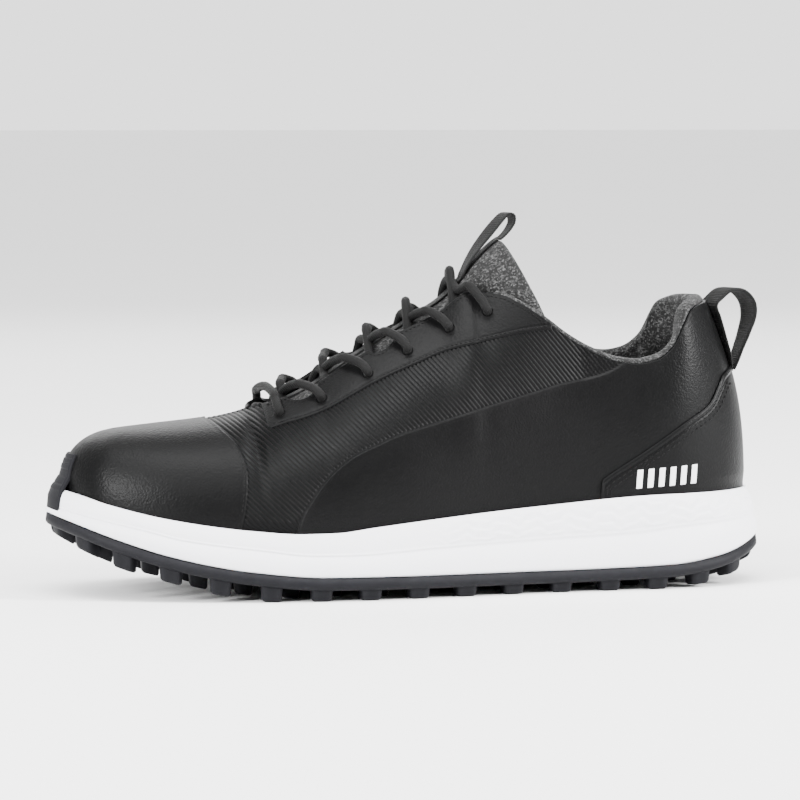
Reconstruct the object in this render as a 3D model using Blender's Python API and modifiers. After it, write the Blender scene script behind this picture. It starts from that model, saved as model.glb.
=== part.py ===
"""Left golf shoe: rubber outsole with lugs, foam midsole, layered leather upper, knit bootie, lace and loops.

Frame: metres, +Z up, toe towards -X, outer side of the foot towards -Y, lowest lug faces on z = 0.
"""

import math

import bmesh
import bpy
import numpy as np
from mathutils import Matrix, Vector

# Overall sizes
LENGTH = 0.300
WIDTH = 0.104
HEIGHT = 0.154

# Layer thicknesses
LEATHER = 0.0012
OVERLAY = 0.0010
STIFFENER = 0.0009
KNIT = 0.0012
FOAM = 0.0042
TONGUE = 0.0042
BOARD = 0.0015
LINER = 0.0040
RUBBER = 0.0050
BUMPER = 0.0016
GAP = 0.0003

# Small features
LUG_SIZE = 0.0088
EYELET_RADIUS = 0.0025
LACE_RADIUS = 0.0015
SCALLOP_RADIUS = 0.0048
WEBBING = 0.0012
HEEL_WEBBING_WIDTH = 0.013
TONGUE_WEBBING_WIDTH = 0.009
LOOP_TWIST = 20
FEATHER_INSET = 0.0066
CUP_DEPTH = 0.005
CUP_CLEARANCE = 0.0011
LAP = 0.0006
RIM_HEIGHT = 0.0028
BAR_COUNT = 6

MM = 0.001
DRAWN_LENGTH = 0.3049
DRAWN_WIDTH = 0.104
DRAWN_HEIGHT = 0.154
SX = LENGTH / DRAWN_LENGTH
SY = WIDTH / DRAWN_WIDTH
SZ = HEIGHT / DRAWN_HEIGHT
MIDDLE = np.array([1.1 * MM * SX, -2.0 * MM * SY, 0.0])


def smooth(points):
    """Function through (x, y) points: cubic between them, and never past a neighbour's height."""
    x, y = np.array(points, float).T
    h, d = np.diff(x), np.diff(y) / np.diff(x)
    m = np.zeros(len(x))
    m[0], m[-1] = d[0], d[-1]
    for i in range(1, len(x) - 1):
        if d[i - 1] * d[i] > 0:
            a, b = 2 * h[i] + h[i - 1], h[i] + 2 * h[i - 1]
            m[i] = (a + b) / (a / d[i - 1] + b / d[i])

    def value(q):
        q = np.clip(q, x[0], x[-1])
        i = np.clip(np.searchsorted(x, q) - 1, 0, len(h) - 1)
        t = (q - x[i]) / h[i]
        rise = y[i] * (1 + 2 * t) * (1 - t) ** 2 + y[i + 1] * t * t * (3 - 2 * t)
        return rise + h[i] * (m[i] * t * (1 - t) ** 2 - m[i + 1] * t * t * (1 - t))

    return value


def scaled(points, sx, sy):
    return [(a * sx * MM, b * sy * MM) for a, b in points]


def along(points):
    """A height curve drawn in millimetres over the shoe's length."""
    return smooth(scaled(points, SX, SZ))


def blend(a, b, t):
    return a + (b - a) * t


def ease(a, b, x):
    t = np.clip((x - a) / (b - a), 0, 1)
    return t * t * (3 - 2 * t)


# Plan of the sole: (distance along, distance across), toe tip to heel, outer side then inner side
OUTER_PLAN = [(-149.6, 5), (-141, -19), (-131, -30), (-111, -41), (-91, -47), (-71, -51), (-51, -53.6), (-31, -54)]
OUTER_PLAN += [(-11, -52.5), (9, -49.5), (29, -46), (49, -43), (69, -41), (89, -40), (109, -38.5), (127, -33)]
OUTER_PLAN += [(143, -22), (153.5, 0)]
INNER_PLAN = [(-143, 22.5), (-131, 34.5), (-111, 43.5), (-91, 48), (-71, 50), (-51, 49.5), (-31, 46.5), (-11, 42)]
INNER_PLAN += [(9, 38), (29, 35.6), (49, 35), (69, 36), (89, 37.6), (109, 37.6), (127, 33), (143, 22)]

# Heights along the shoe
LUG_BASE = along(
    [(-151, 27), (-137, 19), (-121, 12), (-106, 8), (-87, 3.2), (-60, 0), (96, 0), (123, 1.6), (136, 4.4), (154, 13)]
)
SOLE_LINE = along(
    [(-151, 33), (-142, 30), (-125, 24), (-109, 19), (-89, 14.4), (-74, 12), (-42, 9.4), (60, 8.9)]
    + [(106, 9.8), (130, 12.6), (154, 19)]
)
CREASE = along(
    [(-151, 36), (-139, 33.6), (-113, 28), (-101, 25), (-69, 20.8), (-47, 18.4), (-31, 18.3), (1, 20)]
    + [(50, 22), (88, 23.4), (110, 25.6), (154, 28)]
)
RIM = along(
    [(-151, 43), (-145, 42), (-130, 38), (-107, 33), (-73, 28.4), (-52, 27), (-38, 27.2), (-22, 29)]
    + [(2, 31.4), (51, 35.4), (107, 38.8), (146, 39), (154, 39)]
)
SPINE = smooth(scaled([(-151, 5), (-100, 4.5), (-40, 2), (40, 0), (154, 0)], SX, SY))

# Top line of the leather: sole station, then point (along, half width from the spine, height)
TOP_LINE = [(-150.5, -121, 0, 65.8), (-146, -120, 0, 66), (-138, -117, 0, 66.4), (-125, -110, 0, 67.2)]
TOP_LINE += [(-110, -101, 0, 68.2), (-92, -88, 0, 69.6), (-78, -77, 0, 71.4), (-67, -67, 0.2, 74)]
TOP_LINE += [(-62, -63.5, 9, 75.6), (-55, -56, 14.5, 78), (-42, -42, 17.5, 83.5), (-29, -29, 17.5, 91.5)]
TOP_LINE += [(-6, -6, 15.5, 104.5), (12, 12, 14, 113), (26, 26, 14.5, 121.4), (36, 36, 20, 120.6)]
TOP_LINE += [(46, 46, 25, 116), (54, 54, 27.6, 110.6), (64, 64, 29.6, 103), (75, 75, 31, 96.8)]
TOP_LINE += [(85, 85, 31.6, 93.2), (93, 93, 31.4, 92.2), (103, 102, 30.6, 94), (112, 109, 29.2, 99)]
TOP_LINE += [(121, 114, 27, 107.5), (132, 119, 22.6, 114), (144, 126, 14, 116.4), (153, 131, 0, 116.6)]

# Side view edges of the panels: (along, height)
CAP_EDGE = [(-77, 26), (-75, 34), (-73.5, 44), (-73, 54), (-75, 61), (-80, 67), (-83, 71)]
SEAM_EDGE = [(-53, 26), (-53, 36), (-54, 50), (-58, 62), (-63, 70), (-66, 76)]
STAY_EDGE = [(-67, 73), (-63, 68), (-54, 70), (-39, 75), (-18, 86), (1, 94), (14, 99), (25, 101.5), (42, 105)]
STAY_EDGE += [(56, 106.5)]
HEEL_EDGE = [(76, 34), (75.5, 42), (78, 46), (96, 57), (113, 68), (124, 74.5), (129, 81), (133, 86.5), (140, 89.5)]
EYELETS = [(-56, 73), (-39, 79), (-20, 89), (-3, 98), (15, 107), (31, 113.6)]
SCALLOPS = [(-47.5, 80.5), (-14, 100.2)]

SIDES = (-1, 1)


def closed_outline():
    """Dense closed loop through the plan points, toe tip first, running along the outer side."""
    knots = np.array(OUTER_PLAN + INNER_PLAN[::-1], float) * [SX * MM, SY * MM]
    n = len(knots)
    step = np.linalg.norm(np.roll(knots, -1, 0) - knots, axis=1) ** 0.5
    matrix = np.zeros((n, n))
    right = np.zeros((n, 2))
    for i in range(n):
        before, after = step[i - 1], step[i]
        matrix[i, i - 1] += after
        matrix[i, i] += 2 * (before + after)
        matrix[i, (i + 1) % n] += before
        back = (knots[i] - knots[i - 1]) / before
        ahead = (knots[(i + 1) % n] - knots[i]) / after
        right[i] = 3 * (after * back + before * ahead)
    slope = np.linalg.solve(matrix, right)
    t = np.linspace(0, 1, 40, endpoint=False)[:, None]
    loop = []
    for i in range(n):
        j, h = (i + 1) % n, step[i]
        ends = knots[i] * (1 + 2 * t) * (1 - t) ** 2 + knots[j] * t * t * (3 - 2 * t)
        loop.append(ends + h * (slope[i] * t * (1 - t) ** 2 - slope[j] * t * t * (1 - t)))
    return np.concatenate(loop)


def split_outline():
    """For each side, a function from station 0 (toe tip) to 1 (heel) to plan point and outward normal."""
    loop = closed_outline()
    loop = np.roll(loop, -int(loop[:, 0].argmin()), axis=0)
    heel = int(loop[:, 0].argmax())
    halves = {-1: loop[: heel + 1], 1: np.concatenate([loop[heel:], loop[:1]])[::-1]}
    found = {}
    for side, half in halves.items():
        run = np.concatenate([[0], np.cumsum(np.linalg.norm(np.diff(half, axis=0), axis=1))])
        tangent = np.gradient(half, axis=0)
        normal = np.stack([tangent[:, 1], -tangent[:, 0]], 1) * -side
        normal /= np.linalg.norm(normal, axis=1)[:, None]
        normal[0], normal[-1] = (-1, 0), (1, 0)
        found[side] = (run / run[-1], half, normal)
    return found


HALVES = split_outline()


def plan(side, s, out=0.0):
    """Plan point at station s of a side, moved outward by out."""
    run, half, normal = HALVES[side]
    n = np.array([np.interp(s, run, normal[:, k]) for k in (0, 1)])
    n /= np.linalg.norm(n)
    return np.array([np.interp(s, run, half[:, k]) for k in (0, 1)]) + n * out, n


def station(side, x):
    run, half, _ = HALVES[side]
    return float(np.interp(x, half[:, 0], run))


def top_curves():
    """The top line's curves by station, the same on both sides so that they meet on the spine."""
    middle = [(station(-1, row[0] * MM * SX) + station(1, row[0] * MM * SX)) / 2 for row in TOP_LINE[1:-1]]
    columns = list(zip(*TOP_LINE))
    factors = (SX * MM, SY * MM, SZ * MM)
    return [smooth(list(zip([0] + middle + [1], np.array(c) * k))) for c, k in zip(columns[1:], factors)]


TOP = top_curves()
SPINE_END = (station(-1, -0.066 * SX) + station(1, -0.066 * SX)) / 2
# How steeply the wall meets the top line, how far it keeps that slope, and how far it bulges, by station
LEAN = smooth(
    [(-0.151, 6), (-0.144, 3), (-0.134, 0), (-0.075, 2), (-0.062, 24), (-0.04, 36), (0.02, 44), (0.04, 60)]
    + [(0.06, 74), (0.09, 80), (0.12, 76), (0.154, 68)]
)
REACH = smooth([(-0.151, 0.50), (-0.08, 0.52), (-0.05, 0.46), (0.02, 0.42), (0.05, 0.36), (0.154, 0.36)])
BULGE = smooth([(-0.151, 1.2), (-0.11, 3), (-0.05, 3.4), (0.02, 2.6), (0.08, 1), (0.154, 0.6)])


def deck(x):
    return RIM(x) - CUP_DEPTH


def wall(side, s, v):
    """Point of the leather's outer face: v = 0 down in the midsole cup, v = 1 on the top line."""
    (x, y), n = plan(side, s, -FEATHER_INSET)
    foot = np.array([x, y, deck(x) + GAP])
    tx, half, tz = (c(s) for c in TOP)
    head = np.array([tx, SPINE(tx) + side * half, tz])
    key = plan(side, s)[0][0] / SX
    away = np.array([foot[0] - head[0], foot[1] - head[1], 0.0])
    away /= max(np.linalg.norm(away), 1e-9)
    span = np.linalg.norm(head - foot)
    lean = math.radians(LEAN(key))
    slope = away * math.cos(lean) - np.array([0, 0, math.sin(lean)])
    low = foot + np.array([0, 0, 0.5 * (head[2] - foot[2])]) + np.array([*n, 0]) * BULGE(key) * MM
    high = head + slope * REACH(key) * span
    u = 1 - v
    return foot * u**3 + low * 3 * u * u * v + high * 3 * u * v * v + head * v**3


def outward(side, s, v):
    e = 1e-3
    on_spine = s < SPINE_END and v > 1 - e
    v = min(v, 0.97) if on_spine else v
    ds = wall(side, min(s + e, 1), v) - wall(side, max(s - e, 0), v)
    dv = wall(side, s, min(v + e, 1)) - wall(side, s, max(v - e, 0))
    n = np.cross(dv, ds) * side
    if s < e or s > 1 - e or on_spine:
        n[1] = 0
    return n / np.linalg.norm(n)


def skin(side, s, v, off=0.0):
    """Point at a height off above (or below) the leather's outer face."""
    return wall(side, s, v) + outward(side, s, v) * off


def find(side, x, z):
    """Station and height fraction of the wall point seen from the side at (x, z)."""
    s, v = station(side, x), 0.5
    for _ in range(40):
        here = wall(side, s, v)[[0, 2]]
        miss = np.array([x, z]) - here
        if np.abs(miss).max() < 1e-6:
            break
        e = 1e-4
        js = (wall(side, s + e, v)[[0, 2]] - here) / e
        jv = (wall(side, s, v + e)[[0, 2]] - here) / e
        step = np.linalg.lstsq(np.stack([js, jv], 1), miss, rcond=1e-6)[0]
        s = float(np.clip(s + np.clip(step[0], -0.05, 0.05), 0.001, 0.998))
        v = float(np.clip(v + np.clip(step[1], -0.15, 0.15), 0.0, 1.0))
    return s, v


def edge(side, points):
    return np.array([find(side, x * SX * MM, z * SZ * MM) for x, z in points])


def by_height(side, points):
    """Station of a rising edge as a function of v."""
    pairs = edge(side, points)
    order = np.argsort(pairs[:, 1])
    v, s = pairs[order, 1], pairs[order, 0]
    return lambda q: float(np.interp(q, v, s))


def by_station(side, points):
    """Height fraction of a lengthwise edge as a function of the station."""
    pairs = edge(side, points)
    order = np.argsort(pairs[:, 0])
    s, v = pairs[order, 0], pairs[order, 1]
    return lambda q: float(np.interp(q, s, v))


# ---------------------------------------------------------------- scene helpers

for old in list(bpy.data.objects):
    bpy.data.objects.remove(old, do_unlink=True)

SHOE = bpy.data.collections.new("golf_shoe")
CUTTERS = bpy.data.collections.new("cutters")
bpy.context.scene.collection.children.link(SHOE)
bpy.context.scene.collection.children.link(CUTTERS)


def material(name, color, roughness, metallic=0.0):
    made = bpy.data.materials.new(name)
    made.use_nodes = True
    shader = made.node_tree.nodes["Principled BSDF"]
    shader.inputs["Base Color"].default_value = (*color, 1)
    shader.inputs["Roughness"].default_value = roughness
    shader.inputs["Metallic"].default_value = metallic
    return made


BLACK_LEATHER = material("black_leather", (0.016, 0.016, 0.018), 0.45)
WHITE_FOAM = material("white_foam", (0.82, 0.82, 0.86), 0.6)
BLACK_RUBBER = material("black_rubber", (0.03, 0.031, 0.036), 0.7)
GREY_KNIT = material("grey_knit", (0.09, 0.09, 0.095), 0.95)
BLACK_WEBBING = material("black_webbing", (0.014, 0.014, 0.015), 0.85)
INNER_FOAM = material("inner_foam", (0.45, 0.44, 0.4), 0.9)
BOARD_TAN = material("board_tan", (0.5, 0.42, 0.3), 0.85)
WHITE_PRINT = material("white_print", (0.85, 0.85, 0.85), 0.5)
SHANK_GREY = material("shank_grey", (0.2, 0.2, 0.21), 0.5)


def new_object(name, points, faces, look, home=SHOE):
    mesh = bpy.data.meshes.new(name)
    mesh.from_pydata([tuple(np.asarray(p) - MIDDLE) for p in points], [], faces)
    obj = bpy.data.objects.new(name, mesh)
    home.objects.link(obj)
    if look:
        mesh.materials.append(look)
    if home is CUTTERS:
        obj.hide_render = True
        obj.display_type = "WIRE"
    return obj


def tidy(obj, closed=True):
    bm = bmesh.new()
    bm.from_mesh(obj.data)
    bmesh.ops.remove_doubles(bm, verts=bm.verts, dist=1e-6)
    bmesh.ops.dissolve_degenerate(bm, edges=bm.edges, dist=1e-6)
    if closed:
        bmesh.ops.recalc_face_normals(bm, faces=bm.faces)
    bm.to_mesh(obj.data)
    bm.free()
    return obj


def grid_faces(rows, columns, around=False):
    last = columns if around else columns - 1
    faces = []
    for r in range(rows - 1):
        for c in range(last):
            d = (c + 1) % columns
            faces.append((r * columns + c, r * columns + d, (r + 1) * columns + d, (r + 1) * columns + c))
    return faces


def sheet(name, grid, thickness, look, home=SHOE):
    """Sheet that thickens inward from a grid of points; grid[r][c] is (point, outward)."""
    rows, columns = len(grid), len(grid[0])
    points = [p for row in grid for p, _ in row]
    normals = [n for row in grid for _, n in row]
    faces = grid_faces(rows, columns)
    score = 0.0
    for a, b, c, d in faces:
        turn = np.cross(points[c] - points[a], points[d] - points[b])
        score += float(turn @ normals[a])
    if score < 0:
        faces = [f[::-1] for f in faces]
    obj = tidy(new_object(name, points, faces, look, home), closed=False)
    solid = obj.modifiers.new("Thickness", "SOLIDIFY")
    solid.thickness = thickness
    solid.offset = -1
    solid.use_even_offset = True
    return obj


def skin_row(side, stations, heights, off):
    return [(skin(side, s, v, off), outward(side, s, v)) for s, v in zip(stations, heights)]


def loft(name, rings, look, home=SHOE):
    """Closed body through closed rings of equal count, with flat fans over both ends."""
    count = len(rings[0])
    points = [p for ring in rings for p in ring]
    faces = grid_faces(len(rings), count, around=True)
    faces.append(tuple(range(count))[::-1])
    faces.append(tuple(range((len(rings) - 1) * count, len(rings) * count)))
    return tidy(new_object(name, points, faces, look, home))


def cut(target, tool, name="Cut", operation="DIFFERENCE"):
    change = target.modifiers.new(name, "BOOLEAN")
    change.operation = operation
    change.solver = "EXACT"
    change.use_self = operation == "UNION"
    change.object = tool


def hinge(name, place, *moving):
    """Empty on a joint's axis, which carries the pieces that turn about it."""
    pivot = bpy.data.objects.new(name, None)
    pivot.location = place
    SHOE.objects.link(pivot)
    for obj in moving:
        obj.parent = pivot
        obj.matrix_parent_inverse = Matrix.Translation(place).inverted()
    return pivot


def spread(first, last, count):
    return np.linspace(first, last, count)


def slab(name, inset, low, high, look, columns=4, steps=34, home=SHOE, first=0.0, last=1.0):
    """Body between two height functions inside the plan, drawn as strips across from side to side."""
    stations = first + (last - first) * (1 - np.cos(spread(0, math.pi, steps))) / 2
    across = spread(0, 1, columns + 1)
    layers = []
    for height in (low, high):
        rows = []
        for s in stations:
            a, b = plan(-1, s, -inset)[0], plan(1, s, -inset)[0]
            for t in across:
                x, y = a + (b - a) * t
                rows.append(np.array([x, y, height(x)]))
        layers.append(rows)
    width = columns + 1
    half = len(layers[0])
    faces = [f[::-1] for f in grid_faces(steps, width)]
    faces += [tuple(i + half for i in f[::-1]) for f in faces]
    for r in range(steps - 1):
        for c in (0, columns):
            a, b = r * width + c, (r + 1) * width + c
            quad = (a, b, b + half, a + half)
            faces.append(quad if c else quad[::-1])
    for r in (0, steps - 1):
        for c in range(columns):
            a = r * width + c
            quad = (a, a + 1, a + 1 + half, a + half)
            faces.append(quad[::-1] if r else quad)
    return tidy(new_object(name, layers[0] + layers[1], faces, look, home))


# ---------------------------------------------------------------- sole unit


def wall_out(part, x):
    """Outward place of the midsole's side, from its bottom edge (0) to its crease (1) and rim (2)."""
    tail = ease(0.10 * SX, 0.154 * SX, x)
    return {0: -0.6, 1: -1.6, 2: -3.4 - 2.2 * tail}[part] * MM


def sole_profile(x, level):
    """(outward, height) on the midsole's side wall, level 0 at the bottom edge, 1 crease, 2 rim."""
    low, mid, top = SOLE_LINE(x) + GAP, CREASE(x), RIM(x)
    if level <= 1:
        out = blend(wall_out(0, x), wall_out(1, x), level) + 4 * level * (1 - level) * 1.1 * MM
        return out, blend(low, mid, level)
    t = level - 1
    out = blend(wall_out(1, x), wall_out(2, x), t) + 4 * t * (1 - t) * 0.7 * MM
    return out, blend(mid, top, t)


def ring_stations(count):
    """(side, station) pairs all round the sole, closer together at the toe and heel."""
    s = (1 - np.cos(spread(0, math.pi, count + 1))) / 2
    s = 0.5 * s + 0.5 * spread(0, 1, count + 1)
    return [(-1, q) for q in s[:-1]] + [(1, q) for q in s[:0:-1]]


def paired_cap(count, offset, flip):
    """Strips over a ring of 2*count points whose sides face each other."""
    total = 2 * count
    faces = []
    for i in range(count):
        a, b = i, i + 1
        c, d = (total - i - 1) % total, (total - i) % total
        quad = [offset + q for q in (a, b, c, d)]
        quad = list(dict.fromkeys(quad))
        faces.append(tuple(quad[::-1] if flip else quad))
    return faces


def shell_of_rings(name, profile, count, look, home=SHOE):
    """Body round the sole: profile(x) lists (outward, height or height function) from the bottom up to the top."""
    rings = []
    places = ring_stations(count)
    levels = len(profile(0.0))
    for k in range(levels):
        ring = []
        for side, s in places:
            base = plan(side, s)[0]
            out, z = profile(base[0])[k]
            x, y = plan(side, s, out)[0]
            ring.append(np.array([x, y, z(x) if callable(z) else z]))
        rings.append(ring)
    total = 2 * count
    points = [p for ring in rings for p in ring]
    faces = grid_faces(levels, total, around=True)
    faces += paired_cap(count, 0, True)
    faces += paired_cap(count, (levels - 1) * total, False)
    return tidy(new_object(name, points, faces, look, home))


def midsole_profile(x):
    rise = [sole_profile(x, level) for level in (0, 0.5, 1, 1.5, 2)]
    lip = -FEATHER_INSET + CUP_CLEARANCE
    return rise + [(lip + 0.3 * MM, RIM(x) - 0.3 * MM), (lip, lambda here: deck(here))]


RING = 34
midsole = shell_of_rings("midsole", midsole_profile, RING, WHITE_FOAM)


def outsole_profile(x):
    top = SOLE_LINE(x)
    low = max(top - RUBBER, LUG_BASE(x) + 0.6 * MM)
    return [(-3.0 * MM, low), (-0.9 * MM, low + 0.7 * MM), (0, blend(low, top, 0.55)), (-0.4 * MM, top)]


outsole = shell_of_rings("outsole", outsole_profile, RING, BLACK_RUBBER)


def under(x):
    return outsole_profile(x)[0][1]


def lug(center, along_x, half, bottom):
    """Tapered block standing down from the outsole, turned to follow along_x."""
    ax = np.array([*along_x, 0.0])
    ay = np.array([-along_x[1], along_x[0], 0.0])
    root = under(center[0]) + 1.2 * MM
    tilt = (LUG_BASE(center[0] + 2 * MM) - LUG_BASE(center[0] - 2 * MM)) / (4 * MM)
    ring = []
    for z, k in ((bottom, 0.8), (bottom + 0.9 * MM, 0.98), (root, 1.08)):
        for p, q in ((-1, -1), (1, -1), (1, 1), (-1, 1)):
            spot = np.array([*center, 0]) + ax * p * half[0] * k + ay * q * half[1] * k
            height = max(z + tilt * (spot[0] - center[0]), 0.0)
            ring.append(spot + np.array([0, 0, height]))
    faces = [(3, 2, 1, 0), (8, 9, 10, 11)]
    for r in (0, 4):
        for c in range(4):
            d = (c + 1) % 4
            faces.append((r + c, r + d, r + 4 + d, r + 4 + c))
    return ring, faces


def all_lugs():
    blocks = []
    for side in SIDES:
        for k in range(17):
            s = 0.02 + 0.955 * k / 16
            inset = LUG_SIZE * 0.5 + 1.6 * MM
            place, n = plan(side, s, -inset)
            tangent = np.array([-n[1], n[0]])
            blocks.append((place, tangent, (LUG_SIZE * 0.5, LUG_SIZE * 0.45)))
    for row, x in enumerate(np.arange(-0.128, 0.135, 0.0185) * SX):
        outer, inner = plan(-1, station(-1, x))[0][1], plan(1, station(1, x))[0][1]
        room = inner - outer - 2 * (LUG_SIZE + 5.5 * MM)
        number = max(int(room // (LUG_SIZE * 1.9)), 1)
        shift = 0.25 if row % 2 else 0.0
        for k in range(number):
            y = blend(outer, inner, 0.5) + (k - (number - 1) / 2 + shift - 0.125) * room / number
            blocks.append((np.array([x, y]), np.array([1.0, 0.0]), (LUG_SIZE * 0.42, LUG_SIZE * 0.42)))
    return blocks


lug_points, lug_faces = [], []
for place, tangent, half in all_lugs():
    points, faces = lug(place, tangent, half, LUG_BASE(place[0]))
    lug_faces += [tuple(i + len(lug_points) for i in f) for f in faces]
    lug_points += points
lugs = tidy(new_object("lug_blocks", lug_points, lug_faces, None, CUTTERS))
cut(outsole, lugs, "Lugs", "UNION")

# Rubber bumper over the toe: up the midsole's side, then over the front of the cap
BUMPER_END = {side: station(side, -0.1468 * SX) for side in SIDES}
bumper_grid = []
for t in spread(-1, 1, 13):
    side = 1 if t > 0 else -1
    s = abs(t) * BUMPER_END[side]
    row = []
    for level in (0.1, 0.6, 1.1, 1.6, 2.0):
        base, n = plan(side, s)
        out, z = sole_profile(base[0], level)
        x, y = plan(side, s, out + GAP + BUMPER)[0]
        row.append((np.array([x, y, z]), np.array([*n, 0.0])))
    for v in (0.27, 0.35, 0.43, 0.50):
        row.append((skin(side, s, v, GAP + BUMPER), outward(side, s, v)))
    bumper_grid.append(row)
toe_bumper = sheet("toe_bumper", bumper_grid, BUMPER, BLACK_RUBBER)

# Stiffening plate in a pocket that is open at the top of the midsole
PLATE_FIRST, PLATE_LAST = 0.36, 0.78


def plate(name, extra, top, look, home):
    rows = []
    for s in spread(PLATE_FIRST, PLATE_LAST, 12):
        x = blend(-0.150 * SX, 0.150 * SX, s)
        if s == PLATE_FIRST:
            x -= extra
        if s == PLATE_LAST:
            x += extra
        half = 9 * MM + extra
        low, high = deck(x) - 1.8 * MM - extra, deck(x) + top
        middle = SPINE(x)
        corners = ((-half, low), (half, low), (half, high), (-half, high))
        rows.append([np.array([x, middle + y, z]) for y, z in corners])
    return loft(name, rows, look, home)


shank = plate("shank", 0.0, -0.3 * MM, SHANK_GREY, SHOE)
cut(midsole, plate("shank_pocket", GAP, 2 * MM, None, CUTTERS), "Pocket")

BOARD_INSET = FEATHER_INSET + LEATHER + STIFFENER + KNIT + 5 * LAP
strobel_board = slab(
    "strobel_board",
    BOARD_INSET,
    lambda x: deck(x) + GAP,
    lambda x: deck(x) + GAP + BOARD,
    BOARD_TAN,
)
LINER_BASE = BOARD + 2 * GAP
sock_liner = slab(
    "sock_liner",
    BOARD_INSET + 1.2 * MM,
    lambda x: deck(x) + LINER_BASE,
    lambda x: deck(x) + LINER_BASE + LINER,
    INNER_FOAM,
)

# ---------------------------------------------------------------- leather upper

LOW = 0.012


def cap_sheet(name, ends, off, thickness, look, along_count, up_count, top=1.0):
    """Sheet over the toe: stations from the tip back to ends[side](v), both sides joined on the spine."""
    grid = []
    for t in spread(-1, 1, 2 * along_count + 1):
        side = 1 if t > 0 else -1
        row = []
        for v in spread(LOW, top, up_count):
            s = abs(t) * ends[side](v)
            row.append((skin(side, s, v, off), outward(side, s, v)))
        grid.append(row)
    return sheet(name, grid, thickness, look)


def meeting(points):
    """Rising edges of both sides that come to one station on the spine."""
    own = {side: by_height(side, points) for side in SIDES}

    def pair(side):
        return lambda v: blend(own[side](v), (own[-1](v) + own[1](v)) / 2, ease(0.75, 0.99, v))

    return {side: pair(side) for side in SIDES}


CAP_END = meeting(CAP_EDGE)
SEAM = meeting(SEAM_EDGE)
toe_cap = cap_sheet("toe_cap", CAP_END, 0.0, LEATHER, BLACK_LEATHER, 11, 9)
PUFF_END = {side: (lambda v, side=side: 0.8 * CAP_END[side](v)) for side in SIDES}
toe_puff = cap_sheet("toe_puff", PUFF_END, -LEATHER - 2 * LAP, STIFFENER, BOARD_TAN, 7, 6)

STEP = 0.0011


def crossing(name, first, last, off, thickness, look, rows, up_count):
    """Sheet from one side to the other over the spine, between two rising edges."""
    grid = []
    for a in spread(0, 1, rows):
        row = []
        for side, heights in ((-1, spread(LOW, 1, up_count)), (1, spread(1, LOW, up_count)[1:])):
            for v in heights:
                s = blend(first[side](v) + STEP, last[side](v) - STEP, a)
                row.append((skin(side, s, v, off), outward(side, s, v)))
        grid.append(row)
    return sheet(name, grid, thickness, look)


VAMP_END = {side: (lambda v, side=side: min(SEAM[side](v), SPINE_END if v > 0.93 else 1)) for side in SIDES}
vamp = crossing("vamp", CAP_END, VAMP_END, 0.0, LEATHER, BLACK_LEATHER, 6, 8)

STAY = {side: by_station(side, STAY_EDGE) for side in SIDES}
STAY_FIRST = {side: station(side, -0.0605 * SX) for side in SIDES}
STAY_LAST = {side: station(side, 0.050 * SX) for side in SIDES}
HEEL = {side: by_station(side, HEEL_EDGE) for side in SIDES}
NAMES = {-1: "lateral", 1: "medial"}


def hole_axis(side, s, v, radius, low, high, corners=14):
    """Closed prism along the wall's normal, used to punch through the layers."""
    n = outward(side, s, v)
    center = wall(side, s, v)
    a = np.cross(n, [0, 0, 1.0])
    a /= np.linalg.norm(a)
    b = np.cross(n, a)
    rings = []
    for off, grow in ((low, 0.85), (high, 1.75)):
        angles = spread(0, 2 * math.pi, corners + 1)[:-1]
        rings.append([center + n * off + radius * grow * (a * math.cos(t) + b * math.sin(t)) for t in angles])
    return rings


def punches(side):
    points, faces = [], []
    spots = [(p, EYELET_RADIUS) for p in EYELETS] + [(p, SCALLOP_RADIUS) for p in SCALLOPS]
    for (x, z), radius in spots:
        s, v = find(side, x * SX * MM, z * SZ * MM)
        low, high = hole_axis(side, s, v, radius, 5 * MM, -7 * MM)
        base, count = len(points), len(low)
        points += low + high
        faces += [tuple(base + i for i in range(count))]
        faces += [tuple(base + count + i for i in range(count))[::-1]]
        for i in range(count):
            j = (i + 1) % count
            faces.append((base + i, base + j, base + count + j, base + count + i))
    return tidy(new_object("punches_" + NAMES[side], points, faces, None, CUTTERS))


def quarter_sheet(side):
    grid = []
    for a in spread(0, 1, 30):
        row = []
        for v in spread(LOW, 1, 8):
            s = blend(SEAM[side](v) + STEP, 1 - 1.5 * STEP, a)
            s = max(s, SPINE_END + STEP) if v > 0.9 else s
            row.append((skin(side, s, v, 0), outward(side, s, v)))
        grid.append(row)
    return sheet("quarter_" + NAMES[side], grid, LEATHER, BLACK_LEATHER)


def stay_sheet(side, name, off, thickness, look, inset, first=0.0, last=1.0):
    grid = []
    ends = [blend(STAY_FIRST[side], STAY_LAST[side], t) for t in (first, last)]
    for s in spread(*ends, 20):
        low = min(STAY[side](s) + inset, 0.93)
        grid.append(skin_row(side, [s] * 4, spread(low, 1 - inset, 4), off))
    return sheet(name + NAMES[side], grid, thickness, look)


for side in SIDES:
    tool = punches(side)
    cut(quarter_sheet(side), tool, "Holes")
    cut(stay_sheet(side, "eyestay_", LAP + OVERLAY, OVERLAY, BLACK_LEATHER, 0.0), tool, "Holes")
    backer = stay_sheet(side, "eyestay_backer_", -LEATHER - 1.6 * LAP, STIFFENER, BOARD_TAN, 0.02, 0.03, 0.70)
    cut(backer, tool, "Holes")

OVERLAY_FIRST = {side: station(side, 0.0775 * SX) for side in SIDES}


def heel_sheet(name, first, top, off, thickness, look, count, up_count, low=LOW):
    """Sheet round the heel from the outer side to the inner side, up to top[side](s)."""
    grid = []
    for t in spread(-1, 1, count):
        side = -1 if t < 0 else 1
        s = blend(1, first[side], abs(t))
        grid.append(skin_row(side, [s] * up_count, spread(low, top[side](s), up_count), off))
    return sheet(name, grid, thickness, look)


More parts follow.
